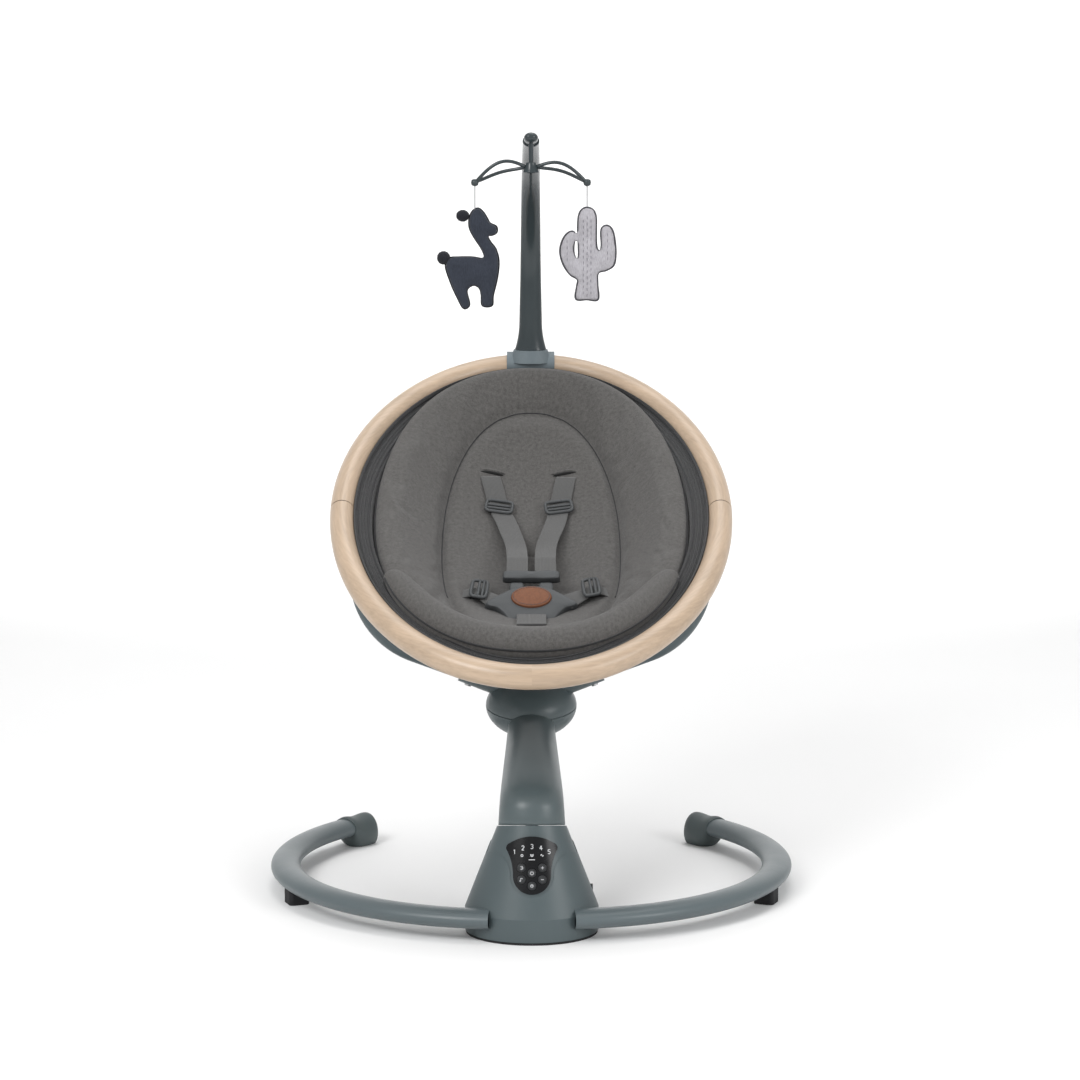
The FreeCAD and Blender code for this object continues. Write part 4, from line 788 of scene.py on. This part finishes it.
def make_straps(tree):
    """Two shoulder straps that rise off the pad to the buckle, two waist straps, the crotch strap."""
    place, across, up, normal = buckle_frame()
    for side, name, slot_x, middle_x in ((-1, "left", 0.0505, 0.039), (1, "right", 0.0440, 0.034)):
        stops = [(0.139, side * slot_x, 0.0), (0.129, side * (slot_x - 0.002), 0.0024),
                 (0.102, side * (middle_x + 0.004), 0.0030), (0.081, side * middle_x, 0.0032),
                 (0.054, side * 0.0310, 0.008), (0.022, side * 0.0250, 0.014),
                 (-0.015, side * 0.0195, 0.020), (-0.050, side * 0.0172, 0.0275)]
        line, normals = strap_line(tree, stops)
        end = place + up * 0.030 + across * side * 0.0168 - normal * 0.0068
        t = np.linspace(0, 1, 14)[1:, None]
        line = np.concatenate([line, line[-1] * (1 - t) + end * t])
        normals = np.concatenate([normals, normals[-1] * (1 - t) + normal * t])
        vertices, faces, uv = ribbon(line, normals, STRAP_WIDTH, 0.0022)
        strap = outward(piece(f"shoulder_webbing_{name}", vertices, faces, "seat", "webbing", STRAP, uv=uv))
        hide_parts(f"shoulder_strap_{name}")
        reach = 0.062 if side < 0 else 0.071
        stops = [(-0.103, side * (reach + 0.020), -0.003), (-0.104, side * (reach + 0.012), 0.003),
                 (-0.105, side * reach, 0.008)]
        line, normals = strap_line(tree, stops, 24)
        end = place - up * 0.004 + across * side * 0.040 - normal * 0.004
        t = np.linspace(0, 1, 14)[1:, None]
        line = np.concatenate([line, line[-1] * (1 - t) + end * t])
        normals = np.concatenate([normals, normals[-1] * (1 - t) + normal * t])
        vertices, faces, uv = ribbon(line, normals, STRAP_WIDTH * 0.86, 0.0022)
        strap = outward(piece(f"waist_webbing_{name}", vertices, faces, "seat", "webbing", STRAP, uv=uv))
        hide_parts(f"waist_strap_{name}")
    line, normals = strap_line(tree, [(-0.146, 0, 0.0035), (-0.160, 0, 0.0030), (-0.182, 0, 0.001)], 24)
    vertices, faces, uv = ribbon(line, normals, 0.034, 0.0026)
    strap = outward(piece("crotch_webbing", vertices, faces, "seat", "webbing", STRAP, uv=uv))
    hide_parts("crotch_strap")


def local_frame(tree, u, x, turn=0.0):
    """Point on the pad with directions across, up the slope and off the surface."""
    place, normal = drop(tree, [u], [x])
    place, normal = place[0], normal[0]
    normal = 0.5 * normal + 0.5 * OUT
    normal /= np.linalg.norm(normal)
    up = UP - normal * (UP @ normal)
    up /= np.linalg.norm(up)
    across = np.cross(up, normal)
    c, s = math.cos(turn), math.sin(turn)
    return place, across * c + up * s, up * c - across * s, normal


def rounded_loop(half_x, half_y, corner, count=48):
    """A rectangle with round corners as a superellipse line: (cos^p, sin^p) with p = 0.35."""
    a = np.linspace(0, 2 * math.pi, count, endpoint=False)
    c, s = np.cos(a), np.sin(a)
    return np.stack([np.sign(c) * np.abs(c) ** 0.35 * half_x, np.sign(s) * np.abs(s) ** 0.35 * half_y], 1)


def slider_parts(tree, u, x, half_x, half_y, turn, lift):
    """A webbing slider: a round-cornered wire-like loop of plastic with a middle bar."""
    place, across, up, normal = local_frame(tree, u, x, turn)
    flat = rounded_loop(half_x, half_y, 0.003)
    path = place + across * flat[:, :1] + up * flat[:, 1:] + normal * lift
    parts = [tube(path, 0.0021, 10, closed=True)]
    for reach in (half_y * 0.05, -half_y * 0.5):
        ends = np.linspace(-half_x * 0.96, half_x * 0.96, 8)[:, None]
        bar = place + across * ends + up * reach + normal * (lift + 0.0008)
        parts.append(tube(bar, 0.0017, 10))
    return parts


def make_sliders(tree):
    """Adjusters on the shoulder straps and sliders on the waist straps."""
    parts = []
    for side, middle_x, reach in ((-1, 0.039, 0.062), (1, 0.034, 0.071)):
        parts += slider_parts(tree, 0.082, side * middle_x, 0.0158, 0.0105, side * 0.12, 0.0072)
        parts += slider_parts(tree, -0.105, side * reach, 0.0180, 0.0090, math.pi / 2 + side * 0.1, 0.0125)
    vertices, faces = join(parts)
    made = outward(piece("webbing_sliders", vertices, faces, "seat", "dark_plastic", BUCKLE))
    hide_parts("strap_sliders")
    return made


def make_slots(tree):
    """The two slots the shoulder straps come out of: a near-black tube painted in as the shade inside each
    slit, with a raised lip over it.
    """
    slit_shades, lips = [], []
    for side, slot_x in ((-1, 0.0505), (1, 0.0440)):
        place, across, up, normal = local_frame(tree, 0.140, side * slot_x, side * 0.08)
        t = np.linspace(-1, 1, 24)[:, None]
        bow = (1 - t ** 2) * 0.0018
        line = place + across * t * 0.0165 + up * (bow + 0.0012) + normal * 0.0006
        slit_shades.append(tube(line, 0.0019 * np.sqrt(np.clip(1.02 - t[:, 0] ** 2, 0.02, 1)), 10))
        line = place + across * t * 0.0185 + up * (bow + 0.0050) + normal * 0.0002
        lips.append(tube(line, 0.0026 * np.sqrt(np.clip(1.02 - t[:, 0] ** 2, 0.02, 1)), 12))
    # The slit tubes are painted shade: near black where the open slot lies in shadow.
    vertices, faces = join(slit_shades)
    outward(piece("strap_slot_shade", vertices, faces, "seat", "dark_plastic", SLOT_PAINTED_SHADE))
    vertices, faces = join(lips)
    uv = vertices[:, [0, 2]]
    return outward(piece("slot_lips", vertices, faces, "seat", "pad_fabric", PANEL_CLOTH, uv=uv))


def dome(outline, frame_of, low, high, edge, rings=10):
    """A smooth button-like form over an outline: rings shrink by a quarter circle towards the top,
    height = low + (high - low) sin t, inset = edge (1 - cos t)."""
    place, across, up, normal = frame_of
    middle = outline.mean(0)
    rows = []
    for level, shrink in [(low, 0.0), (low + (high - low) * 0.25, 0.0)] + [
        (low + (high - low) * (0.25 + 0.75 * math.sin(t)), edge * (1 - math.cos(t)))
        for t in np.linspace(0.15, math.pi / 2, rings)
    ] + [(high + 0.0006, 1.6 * edge), (high + 0.0009, 3.0 * edge)]:
        away = outline - middle
        length = np.linalg.norm(away, axis=1)[:, None]
        ring = middle + away * np.clip(1 - shrink / length, 0.02, 1)
        rows.append(place + across * ring[:, :1] + up * ring[:, 1:] + normal * level)
    return closed_grid(np.array(rows))


def buckle_frame():
    """The buckle's frame: its middle, a little down and in from the button's, and the way it is
    pressed."""
    low, high = (np.array(c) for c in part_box("buckle_button"))
    normal = -np.array(JOINTS["buckle_press_in"]["axis"])
    up = UP - normal * (UP @ normal)
    up /= np.linalg.norm(up)
    return (low + high) / 2 - up * 0.0150 + normal * 0.006, np.cross(up, normal), up, normal


def make_buckle():
    """The harness buckle: a domed fan-shaped body, the bridge that takes the shoulder straps, a
    ledge on each side for the waist straps, and the oval leather button with its sewn edge."""
    place, across, up, normal = buckle_frame()
    half = [(0, 0.0215), (0.020, 0.0185), (0.038, 0.0085), (0.0535, -0.0035), (0.0505, -0.0085),
            (0.041, -0.0120), (0.033, -0.0205), (0.0265, -0.0292), (0.013, -0.0318)]
    stops = np.array(half + [(0, -0.0323)] + [(-a, b) for a, b in half[:0:-1]])
    outline = smooth_path(stops, 96, closed=True)
    outline[:, 1] -= 0.002
    parts = [dome(outline, (place, across, up, normal), -0.0125, 0.0001, 0.004)]
    bridge = rounded_loop(0.0335, 0.0062, 0.003)
    middle = place + up * 0.0345
    parts.append(dome(bridge, (middle, across, up, normal), -0.0105, -0.0010, 0.002))
    for x in (-0.017, 0.017):
        stem = rounded_loop(0.0085, 0.011, 0.002)
        parts.append(dome(stem, (place + up * 0.015 + across * x, across, up, normal), -0.011, -0.0045, 0.001))
    vertices, faces = join(parts)
    made = outward(piece("buckle_shell", vertices, faces, "seat", "dark_plastic", BUCKLE))
    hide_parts("buckle_body")
    a = np.linspace(0, 2 * math.pi, 72, endpoint=False)
    oval = np.stack([0.0238 * np.cos(a), 0.0152 * np.sin(a)], 1)
    badge = dome(oval, (place, across, up, normal), -0.004, 0.0034, 0.0016)
    button = outward(piece("leather_button", *badge, "buckle_press", "tan_leather", LEATHER))
    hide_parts("buckle_button")
    stitches = []
    for turn in np.linspace(0, 2 * math.pi, 44, endpoint=False):
        t = turn + np.linspace(-0.045, 0.045, 5)
        line = (place + across * (0.0208 * np.cos(t))[:, None] + up * (0.0123 * np.sin(t))[:, None]
                + normal * 0.0042)
        stitches.append(tube(line, 0.00032, 6))
    outward(piece("badge_stitches", *join(stitches), "buckle_press", "tan_leather", EDGING))
    return made


# ---- Soft toys ----
LLAMA_SHAPE = [(3.8, -0.5), (10, -5), (14.5, -12), (18, -18), (25.5, -22), (25.8, -29), (19.5, -32.5),
               (14.5, -32), (18.5, -40), (25, -49), (28.3, -63), (26.5, -82), (21.5, -103), (20, -115),
               (8.5, -115), (7.2, -102), (5, -94.5), (-1, -91), (-7, -93.5), (-9.5, -99), (-6.5, -114),
               (-13.5, -118.5), (-21, -106), (-29, -88), (-35, -68), (-30, -59), (-19, -57.8),
               (-3, -57.8), (8, -59.5), (11, -57), (7.5, -48), (-1, -35), (-6.5, -24), (-6.8, -13), (-3, -4)]
CACTUS_SHAPE = [(0, 0), (7, -3), (10.2, -11), (10.4, -26), (10.6, -42), (12.5, -50), (16, -50.5), (17.3, -43),
                (16.5, -29), (18.5, -23), (24, -21.2), (29.5, -26), (32.5, -38), (33.6, -54), (31.5, -67),
                (23, -73), (13, -76.5), (12.2, -90), (12.9, -107.5), (0, -107.5), (-12.9, -107), (-11.6, -92),
                (-11, -84), (-20, -78), (-28, -66), (-31.6, -52), (-29.5, -40), (-24, -31), (-17, -28),
                (-14, -33), (-16, -44), (-15.5, -55), (-11.8, -61.5), (-9.6, -56), (-10, -40),
                (-10.6, -22), (-9.5, -9), (-6, -2.5)]


def toy_outline(shape, name, count):
    """A toy's closed outline in the XZ plane, hung from its CAD node's top middle."""
    low, high = (np.array(c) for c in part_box(f"{name}_toy"))
    cord_low, cord_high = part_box(f"{name}_string")
    top = np.array([(cord_low[0] + cord_high[0]) / 2, (low[1] + high[1]) / 2, high[2] + CORD_SEWN_IN])
    flat = smooth_path(np.array(shape) / 1000, count, closed=True)
    return top, flat


def stuffed(name, shape, body, material, thickness, pressure, cap):
    """A stuffed toy: the outline thickened a little, remeshed finely and blown up as cloth."""
    top, flat = toy_outline(shape, name, 220)
    work = bmesh.new()
    ring = [work.verts.new((top[0] + x * 0.985, top[1] - thickness / 2, top[2] + z)) for x, z in flat]
    face = work.faces.new(ring)
    grown = bmesh.ops.extrude_face_region(work, geom=[face])
    moved = [v for v in grown["geom"] if isinstance(v, bmesh.types.BMVert)]
    bmesh.ops.translate(work, verts=moved, vec=(0, thickness, 0))
    bmesh.ops.recalc_face_normals(work, faces=work.faces)
    bmesh.ops.triangulate(work, faces=work.faces)
    mesh = bpy.data.meshes.new(f"{name}_plush")
    work.to_mesh(mesh)
    work.free()
    made = bpy.data.objects.new(f"{name}_plush", mesh)
    bpy.context.scene.collection.objects.link(made)
    remesh = made.modifiers.new("even", "REMESH")
    remesh.mode = "VOXEL"
    remesh.voxel_size = 0.0021
    graph = bpy.context.evaluated_depsgraph_get()
    even = bpy.data.meshes.new_from_object(made.evaluated_get(graph))
    made.modifiers.remove(remesh)
    made.data = even
    even.materials.clear()
    even.materials.append(material)
    even.polygons.foreach_set("use_smooth", [True] * len(even.polygons))
    place = np.zeros(len(even.vertices) * 3)
    even.vertices.foreach_get("co", place)
    place = place.reshape(-1, 3)
    edge = top[[0, 2]] + flat
    near = np.hypot(*(edge[None] - place[:, None, [0, 2]]).transpose(2, 0, 1)).min(1)
    swell = np.sqrt(np.clip(near / 0.011, 0, 1)) * 0.0075
    place[:, 1] += np.sign(place[:, 1] - top[1]) * ((swell * 0.6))
    even.vertices.foreach_set("co", place.ravel())
    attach(made, body)
    puff(made, near < 0.0012, pressure, cap)
    subdivide(made)
    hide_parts(f"{name}_toy")
    return made


def ball(name, centre, radii, body, slot, material, ripple=0.0):
    """A soft pompom: a sphere whose radius ripples as 1 + r sin(9a) sin(7b)."""
    a = np.linspace(0, 2 * math.pi, 40, endpoint=False)[None]
    b = np.linspace(0.12, math.pi - 0.12, 22)[:, None]
    grow = 1 + ripple * np.sin(9 * a + 3 * b) * np.sin(7 * b)
    points = np.stack(np.broadcast_arrays(np.sin(b) * np.cos(a) * grow * radii[0],
                                          np.sin(b) * np.sin(a) * grow * radii[1],
                                          np.cos(b) * grow * radii[2]), -1) + centre
    return outward(piece(name, *closed_grid(points), body, slot, material))


def make_llama():
    """The llama: stuffed body, a pompom ear, a pompom tail and a darker muzzle seam."""
    made = stuffed("llama", LLAMA_SHAPE, "llama", FELT, 0.006, 5.0, 0.007)
    top, flat = toy_outline(LLAMA_SHAPE, "llama", 260)
    path = np.stack([top[0] + flat[:, 0], np.full(len(flat), top[1]), top[2] + flat[:, 1]], 1)
    outward(piece("llama_seam", *tube(path, 0.0009, 8, closed=True), "llama", "llama_felt", FELT_DARK))
    for name, x, z, radii in (("llama_ear", -14.3, -9.5, (0.0078, 0.0066, 0.0068)),
                              ("llama_tail", -37.0, -58.8, (0.0078, 0.0072, 0.0078))):
        centre = np.array([top[0] + x / 1000, top[1], top[2] + z / 1000])
        ball(name, centre, radii, "llama", "llama_felt", FELT_DARK, 0.05)
    return made


def make_cactus():
    """The cactus: stuffed body, dark edging sewn round it, and rows of upright stitches."""
    made = stuffed("cactus", CACTUS_SHAPE, "cactus", JERSEY, 0.006, 5.0, 0.007)
    top, flat = toy_outline(CACTUS_SHAPE, "cactus", 300)
    path = np.stack([top[0] + flat[:, 0], np.full(len(flat), top[1]), top[2] + flat[:, 1]], 1)
    outward(piece("cactus_edging", *tube(path, 0.0015, 8, closed=True), "cactus", "cactus_felt", EDGING))
    tree = surface_of(made)
    stitches = []
    rows = ((-4.5, -14, -100), (0.0, -10, -102), (4.5, -14, -100), (24.0, -30, -62), (-23.5, -38, -64))
    for x, high, low in rows:
        for z in np.arange(high, low, -7.0):
            line = []
            for dz in np.linspace(0, -3.4, 5):
                start = Vector((top[0] + x / 1000, top[1] - 0.05, top[2] + (z + dz) / 1000))
                hit, _, _, _ = tree.ray_cast(start, Vector((0, 1, 0)))
                if hit is not None:
                    line.append(np.array(hit) - np.array([0, 0.0002, 0]))
            if len(line) == 5:
                stitches.append(tube(np.array(line), 0.0003, 6))
    outward(piece("cactus_stitches", *join(stitches), "cactus", "cactus_felt", STITCH))
    return made


def make_arm():
    """The swinging arm's cover: oval sections between a line up its front and one along its
    underside. A section's middle and half height are the lines' half sum and half difference."""
    lean = np.array(JOINTS["swing"]["axis"])
    lean = lean * np.sign(lean[2])
    back = np.array([0, lean[2], -lean[1]])
    low = np.array(JOINTS["swing"]["pos_m"]) + lean * 0.0006
    front_stops = [low - back * 0.032, low - back * 0.0325 + lean * 0.010, (0, -0.0235, 0.152),
                   (0, -0.009, 0.1635), (0, 0.014, 0.1710), (0, 0.060, 0.1815), (0, 0.125, 0.1965),
                   (0, 0.190, 0.2120)]
    under_stops = [low + back * 0.032, low + back * 0.033 + lean * 0.006, (0, 0.048, 0.127),
                   (0, 0.066, 0.133), (0, 0.090, 0.140), (0, 0.125, 0.150), (0, 0.160, 0.161),
                   (0, 0.200, 0.175)]
    rows = 72
    front, under = smooth_path(front_stops, rows), smooth_path(under_stops, rows)
    middle, depth = (front + under) / 2, (front - under) / 2
    t = np.linspace(0, 1, rows)[:, None, None]
    turn = np.linspace(0, 2 * math.pi, 64, endpoint=False)[None, :, None]
    cos, sin = np.cos(turn), np.sin(turn)
    power = 2 / (2.0 + 0.5 * np.sin(np.pi * np.clip(t * 1.4, 0, 1)))
    wide = 0.0374 - 0.0100 * t
    points = (middle[:, None] + SIDE * np.sign(cos) * np.abs(cos) ** power * wide
              + depth[:, None] * np.sign(sin) * np.abs(sin) ** power)
    made = outward(piece("arm_cover", *closed_grid(points), "arm", "arm_plastic", ARM))
    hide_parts("arm_shell")
    return made


def make_hanger():
    """The toy hanger: a cone on the post, and on each side a long open loop of two strands that
    part in the middle and meet in a blob over the toy's cord. A strand's height is an arc, and the
    strands part by a half sine across a plane tipped to the front."""
    low, high = (np.array(c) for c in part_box("toy_hanger"))
    axis_y = (low[1] + high[1]) / 2
    post = high[2]
    parts = []
    t = np.linspace(0, 1, 12)
    cone = np.stack([0 * t, 0 * t + axis_y, post - 0.0015 - 0.0117 * t], 1)
    parts.append(tube(cone, 0.0062 + 0.0038 * t ** 1.5, 28))
    for side, gap in ((-1, 0.0060), (1, 0.0045)):
        string_low, string_high = (np.array(c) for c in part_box(f"{'llama' if side < 0 else 'cactus'}_string"))
        end = np.array([(string_low[0] + string_high[0]) / 2, axis_y, string_high[2] + 0.0038])
        start = np.array([side * 0.007, axis_y, post - 0.0065])
        t = np.linspace(0, 1, 40)[:, None]
        rise = np.array([0, 0, 0.0085]) * np.sin(np.pi * t) ** 1.1
        for lift in (-1, 1):
            spread = np.array([0, -0.0052, gap]) * np.sin(np.pi * np.clip(t * 1.04, 0, 1)) ** 0.8 * lift
            line = start * (1 - t) + end * t + rise + spread
            parts.append(tube(line, 0.0021, 12))
        parts.append(tube(np.array([end + [0, 0, 0.0042], end + [0, 0, 0.003], end, end - [0, 0, 0.003],
                                    end - [0, 0, 0.0042]]),
                          np.array([0.0016, 0.0040, 0.0046, 0.0040, 0.0016]), 16))
    made = outward(piece("hanger_loops", *join(parts), "hanger", "bar_plastic", BAR))
    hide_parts("toy_hanger")
    return made


def make_strings():
    """The two short cords that carry the toys, straight under the toys' weight."""
    for name in ("llama", "cactus"):
        low, high = (np.array(c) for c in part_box(f"{name}_string"))
        middle = (low + high) / 2
        data = bpy.data.curves.new(f"{name}_cord", "CURVE")
        data.dimensions = "3D"
        spline = data.splines.new("NURBS")
        levels = (high[2], high[2] - 0.011, low[2] + 0.010, low[2])
        spline.points.add(len(levels) - 1)
        for point, level in zip(spline.points, levels):
            point.co = (middle[0], middle[1], level, 1)
        spline.order_u = 3
        spline.use_endpoint_u = True
        data.bevel_depth = 0.0009
        data.bevel_resolution = 3
        data.materials.append(CORD)
        cord = bpy.data.objects.new(f"{name}_cord", data)
        bpy.context.scene.collection.objects.link(cord)
        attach(cord, name)
        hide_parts(f"{name}_string")


# ---- Keypad print ----
def panel_frame():
    """Foot, directions of the keypad's plane, from its buttons' press direction and its box."""
    out = -np.array(JOINTS["key_1_press"]["axis"])
    up = np.cross(out, SIDE)
    up = up * np.sign(up[2])
    low, high = (np.array(c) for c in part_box("keypad_panel"))
    foot = np.array([0, low[1] + 0.002, low[2]])
    return foot, up, out


def print_shape(name, lines, width, body, node, lift=0.00012):
    """Printed marks on a CAD node: each line is a flat ribbon of points (x, s) on the keypad's
    plane, and every point is dropped on the node's face."""
    foot, up, out = panel_frame()
    mesh = frame["nodes"][node].data
    tree = BVHTree.FromPolygons([tuple(v.co) for v in mesh.vertices],
                                [list(p.vertices) for p in mesh.polygons])
    points, faces = [], []
    for line in lines:
        line = np.asarray(line, float) / 1000
        ahead = np.gradient(line, axis=0)
        ahead /= np.linalg.norm(ahead, axis=1)[:, None] + 1e-12
        side = np.stack([-ahead[:, 1], ahead[:, 0]], 1) * width / 2000
        base = len(points)
        for a, b in zip(line + side, line - side):
            for x, s in (a, b):
                start = foot + SIDE * x + up * s + out * 0.03
                hit, _, _, _ = tree.ray_cast(Vector(start), Vector(-out))
                if hit is None:
                    hit = start - out * 0.03
                points.append(np.array(hit) + out * lift)
        for i in range(len(line) - 1):
            k = base + 2 * i
            faces.append((k, k + 1, k + 3, k + 2))
    made = piece(name, points, faces, body, "keypad_gloss", PRINT, smooth=False)
    thick = made.modifiers.new("ink", "SOLIDIFY")
    thick.thickness = 0.00006
    return made


def arc(x, s, radius, start, end, count=12):
    """Points of an arc, angles in degrees."""
    a = np.radians(np.linspace(start, end, count))
    return np.stack([x + radius * np.cos(a), s + radius * np.sin(a)], 1)


def stroke(*points):
    """A straight-sided line through points, with points in between."""
    return smooth_corners(np.array(points, float))


def smooth_corners(points):
    """The same line with each span cut into four."""
    t = np.linspace(0, 1, 4, endpoint=False)[:, None]
    spans = [a * (1 - t) + b * t for a, b in zip(points[:-1], points[1:])]
    return np.concatenate(spans + [points[-1:]])


def digit(number, x, s, size):
    """A plain digit 1 to 5 drawn with strokes and arcs, `size` high."""
    h, w = size, size * 0.52
    left, right, low, high = x - w / 2, x + w / 2, s - h / 2, s + h / 2
    if number == 1:
        return [stroke((x - w * 0.4, high - h * 0.22), (x, high), (x, low))]
    if number == 2:
        return [np.concatenate([arc(x, high - w / 2, w / 2, 170, -30), smooth_corners(
            np.array([(x + w * 0.43, high - w * 0.75), (left, low), (right, low)]))])]
    if number == 3:
        return [arc(x, s + h * 0.24, h * 0.25, 150, -90), arc(x, s - h * 0.24, h * 0.26, 90, -150)]
    if number == 4:
        bar = s - h * 0.15
        return [stroke((x + w * 0.25, low), (x + w * 0.25, high)),
                stroke((x + w * 0.15, high), (left, bar)),
                stroke((left, bar), (right + w * 0.2, bar))]
    return [stroke((right, high), (left + w * 0.1, high), (left, s + h * 0.05)),
            arc(x - w * 0.05, s - h * 0.18, h * 0.29, 120, -140)]


def make_keypad_print():
    """Digits one to five in an arc, three small marks, a dash, and a plain mark on each button."""
    lines = []
    for index in range(5):
        a = math.radians(122 - 16 * index)
        lines += digit(index + 1, 36.0 * math.cos(a), 17.0 + 36.0 * math.sin(a), 4.8)
    lines.append(arc(-11.0, 43.2, 1.2, 0, 360, 16))
    lines += [stroke((-1.8, 44.6), (0, 43.2), (1.8, 44.6)), stroke((-1.8, 43.2), (0, 41.8), (1.8, 43.2))]
    lines += [stroke((9.4, 43.2), (10.6, 44.6), (11.8, 42.2), (13.0, 43.6))]
    lines.append(stroke((-3.4, 38.4), (3.4, 38.4)))
    print_shape("keypad_print", lines, 0.8, "base", "keypad_panel")
    middles = [(-11.6, 29.5), (11.6, 29.5), (0, 23.5), (-11.6, 16.5), (11.6, 16.5), (0, 9.5)]
    marks = [
        lambda x, s: [arc(x, s, 1.7, 130, -130), stroke((x - 0.4, s), (x + 1.8, s))],
        lambda x, s: [stroke((x, s - 1.6), (x, s + 1.6)), stroke((x - 1.6, s), (x + 1.6, s))],
        lambda x, s: [arc(x, s, 1.8, 60, -240), stroke((x, s + 0.3), (x, s + 2.2))],
        lambda x, s: [stroke((x - 0.8, s - 1.5), (x - 0.8, s + 1.6), (x + 1.4, s + 1.1)),
                      arc(x - 1.3, s - 1.4, 0.5, 0, 360)],
        lambda x, s: [stroke((x - 1.6, s), (x + 1.6, s))],
        lambda x, s: [arc(x, s, 1.5, 0, 360, 18), stroke((x, s + 1.0), (x, s), (x + 0.8, s))],
    ]
    for number, ((x, s), mark) in enumerate(zip(middles, marks), 1):
        print_shape(f"button_mark_{number}", mark(x, s), 0.6, f"key_{number}", f"keypad_button_{number}")


# ---- Setting ----
def make_stage():
    """A pale floor that runs up into a pale backdrop by a wide quarter circle."""
    half, reach, radius, high = 6.0, 5.0, 1.5, 6.0
    turn = np.linspace(0, math.pi / 2, 24)
    bend = np.stack([reach + radius * np.sin(turn), radius - radius * np.cos(turn)], 1)
    profile = np.concatenate([[(-half, 0.0)], bend, [(reach + radius, high)]])
    rows = np.stack([np.insert(profile, 0, x, axis=1) for x in (-half, half)], 1)
    mesh = bpy.data.meshes.new("studio_sweep")
    faces = grid_faces(len(profile), 2, False, False)
    mesh.from_pydata(rows.reshape(-1, 3).tolist(), [], [tuple(int(i) for i in f) for f in faces])
    mesh.polygons.foreach_set("use_smooth", [True] * len(mesh.polygons))
    floor = bpy.data.objects.new("studio_sweep", mesh)
    bpy.context.scene.collection.objects.link(floor)
    made = Finish("studio paper", (0.90, 0.90, 0.90), 0.9, Specular_IOR_Level=0.1)
    made.tint(made.noise(made.place(), 2.0), 0.995, 1.005)
    mesh.materials.append(made.made)


def area_light(name, place, aim, size, power):
    """A square soft light aimed at a point."""
    data = bpy.data.lights.new(name, "AREA")
    data.shape = "SQUARE"
    data.size = size
    data.energy = power
    lamp = bpy.data.objects.new(name, data)
    lamp.location = place
    lamp.rotation_euler = (Vector(aim) - Vector(place)).to_track_quat("-Z", "Y").to_euler()
    bpy.context.scene.collection.objects.link(lamp)


def make_setting():
    """Pale floor, soft lights from both sides and above, and the camera."""
    make_stage()
    world = bpy.data.worlds.new("studio air")
    world.use_nodes = True
    world.node_tree.nodes["Background"].inputs["Color"].default_value = (1, 1, 1, 1)
    world.node_tree.nodes["Background"].inputs["Strength"].default_value = 0.62
    bpy.context.scene.world = world
    aim = (0, 0.2, 0.4)
    area_light("key light", (-1.6, -2.2, 2.4), aim, 1.4, 58)
    area_light("fill light", (2.2, -1.8, 1.5), aim, 1.2, 26)
    area_light("top light", (0.2, 0.6, 2.8), aim, 2.0, 28)
    for side in (-1, 1):
        area_light("backdrop light", (side * 2.2, 3.2, 2.6), (side * 0.6, 6.5, 1.8), 2.2, 75)
    lens = bpy.data.cameras.new("view")
    lens.lens = 100.0
    lens.sensor_width = 36.0
    lens.clip_end = 50
    camera = bpy.data.objects.new("view", lens)
    turn = math.radians(0.3)
    pivot = np.array([0.0, CENTRE[1], 0.887])
    back = 3.5145
    side = 0.0104
    camera.location = pivot + np.array([side - back * math.sin(turn), -back * math.cos(turn), 0])
    camera.rotation_euler = (math.radians(90 - 7.73), 0, -turn)
    bpy.context.scene.collection.objects.link(camera)
    bpy.context.scene.camera = camera
    bpy.context.scene.view_settings.view_transform = "Standard"


make_setting()
make_strings()
finish_nodes()
make_arm()
make_hanger()
cushion = make_pad()
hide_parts("seat_pad")
make_roll()
make_roll_piping()
make_liner()
make_piping()
make_edge_cord()
top = surface_of(cushion)
make_seam_thread_and_shade(top)
make_slots(top)
make_straps(top)
make_sliders(top)
make_buckle()
make_llama()
make_cactus()
make_keypad_print()
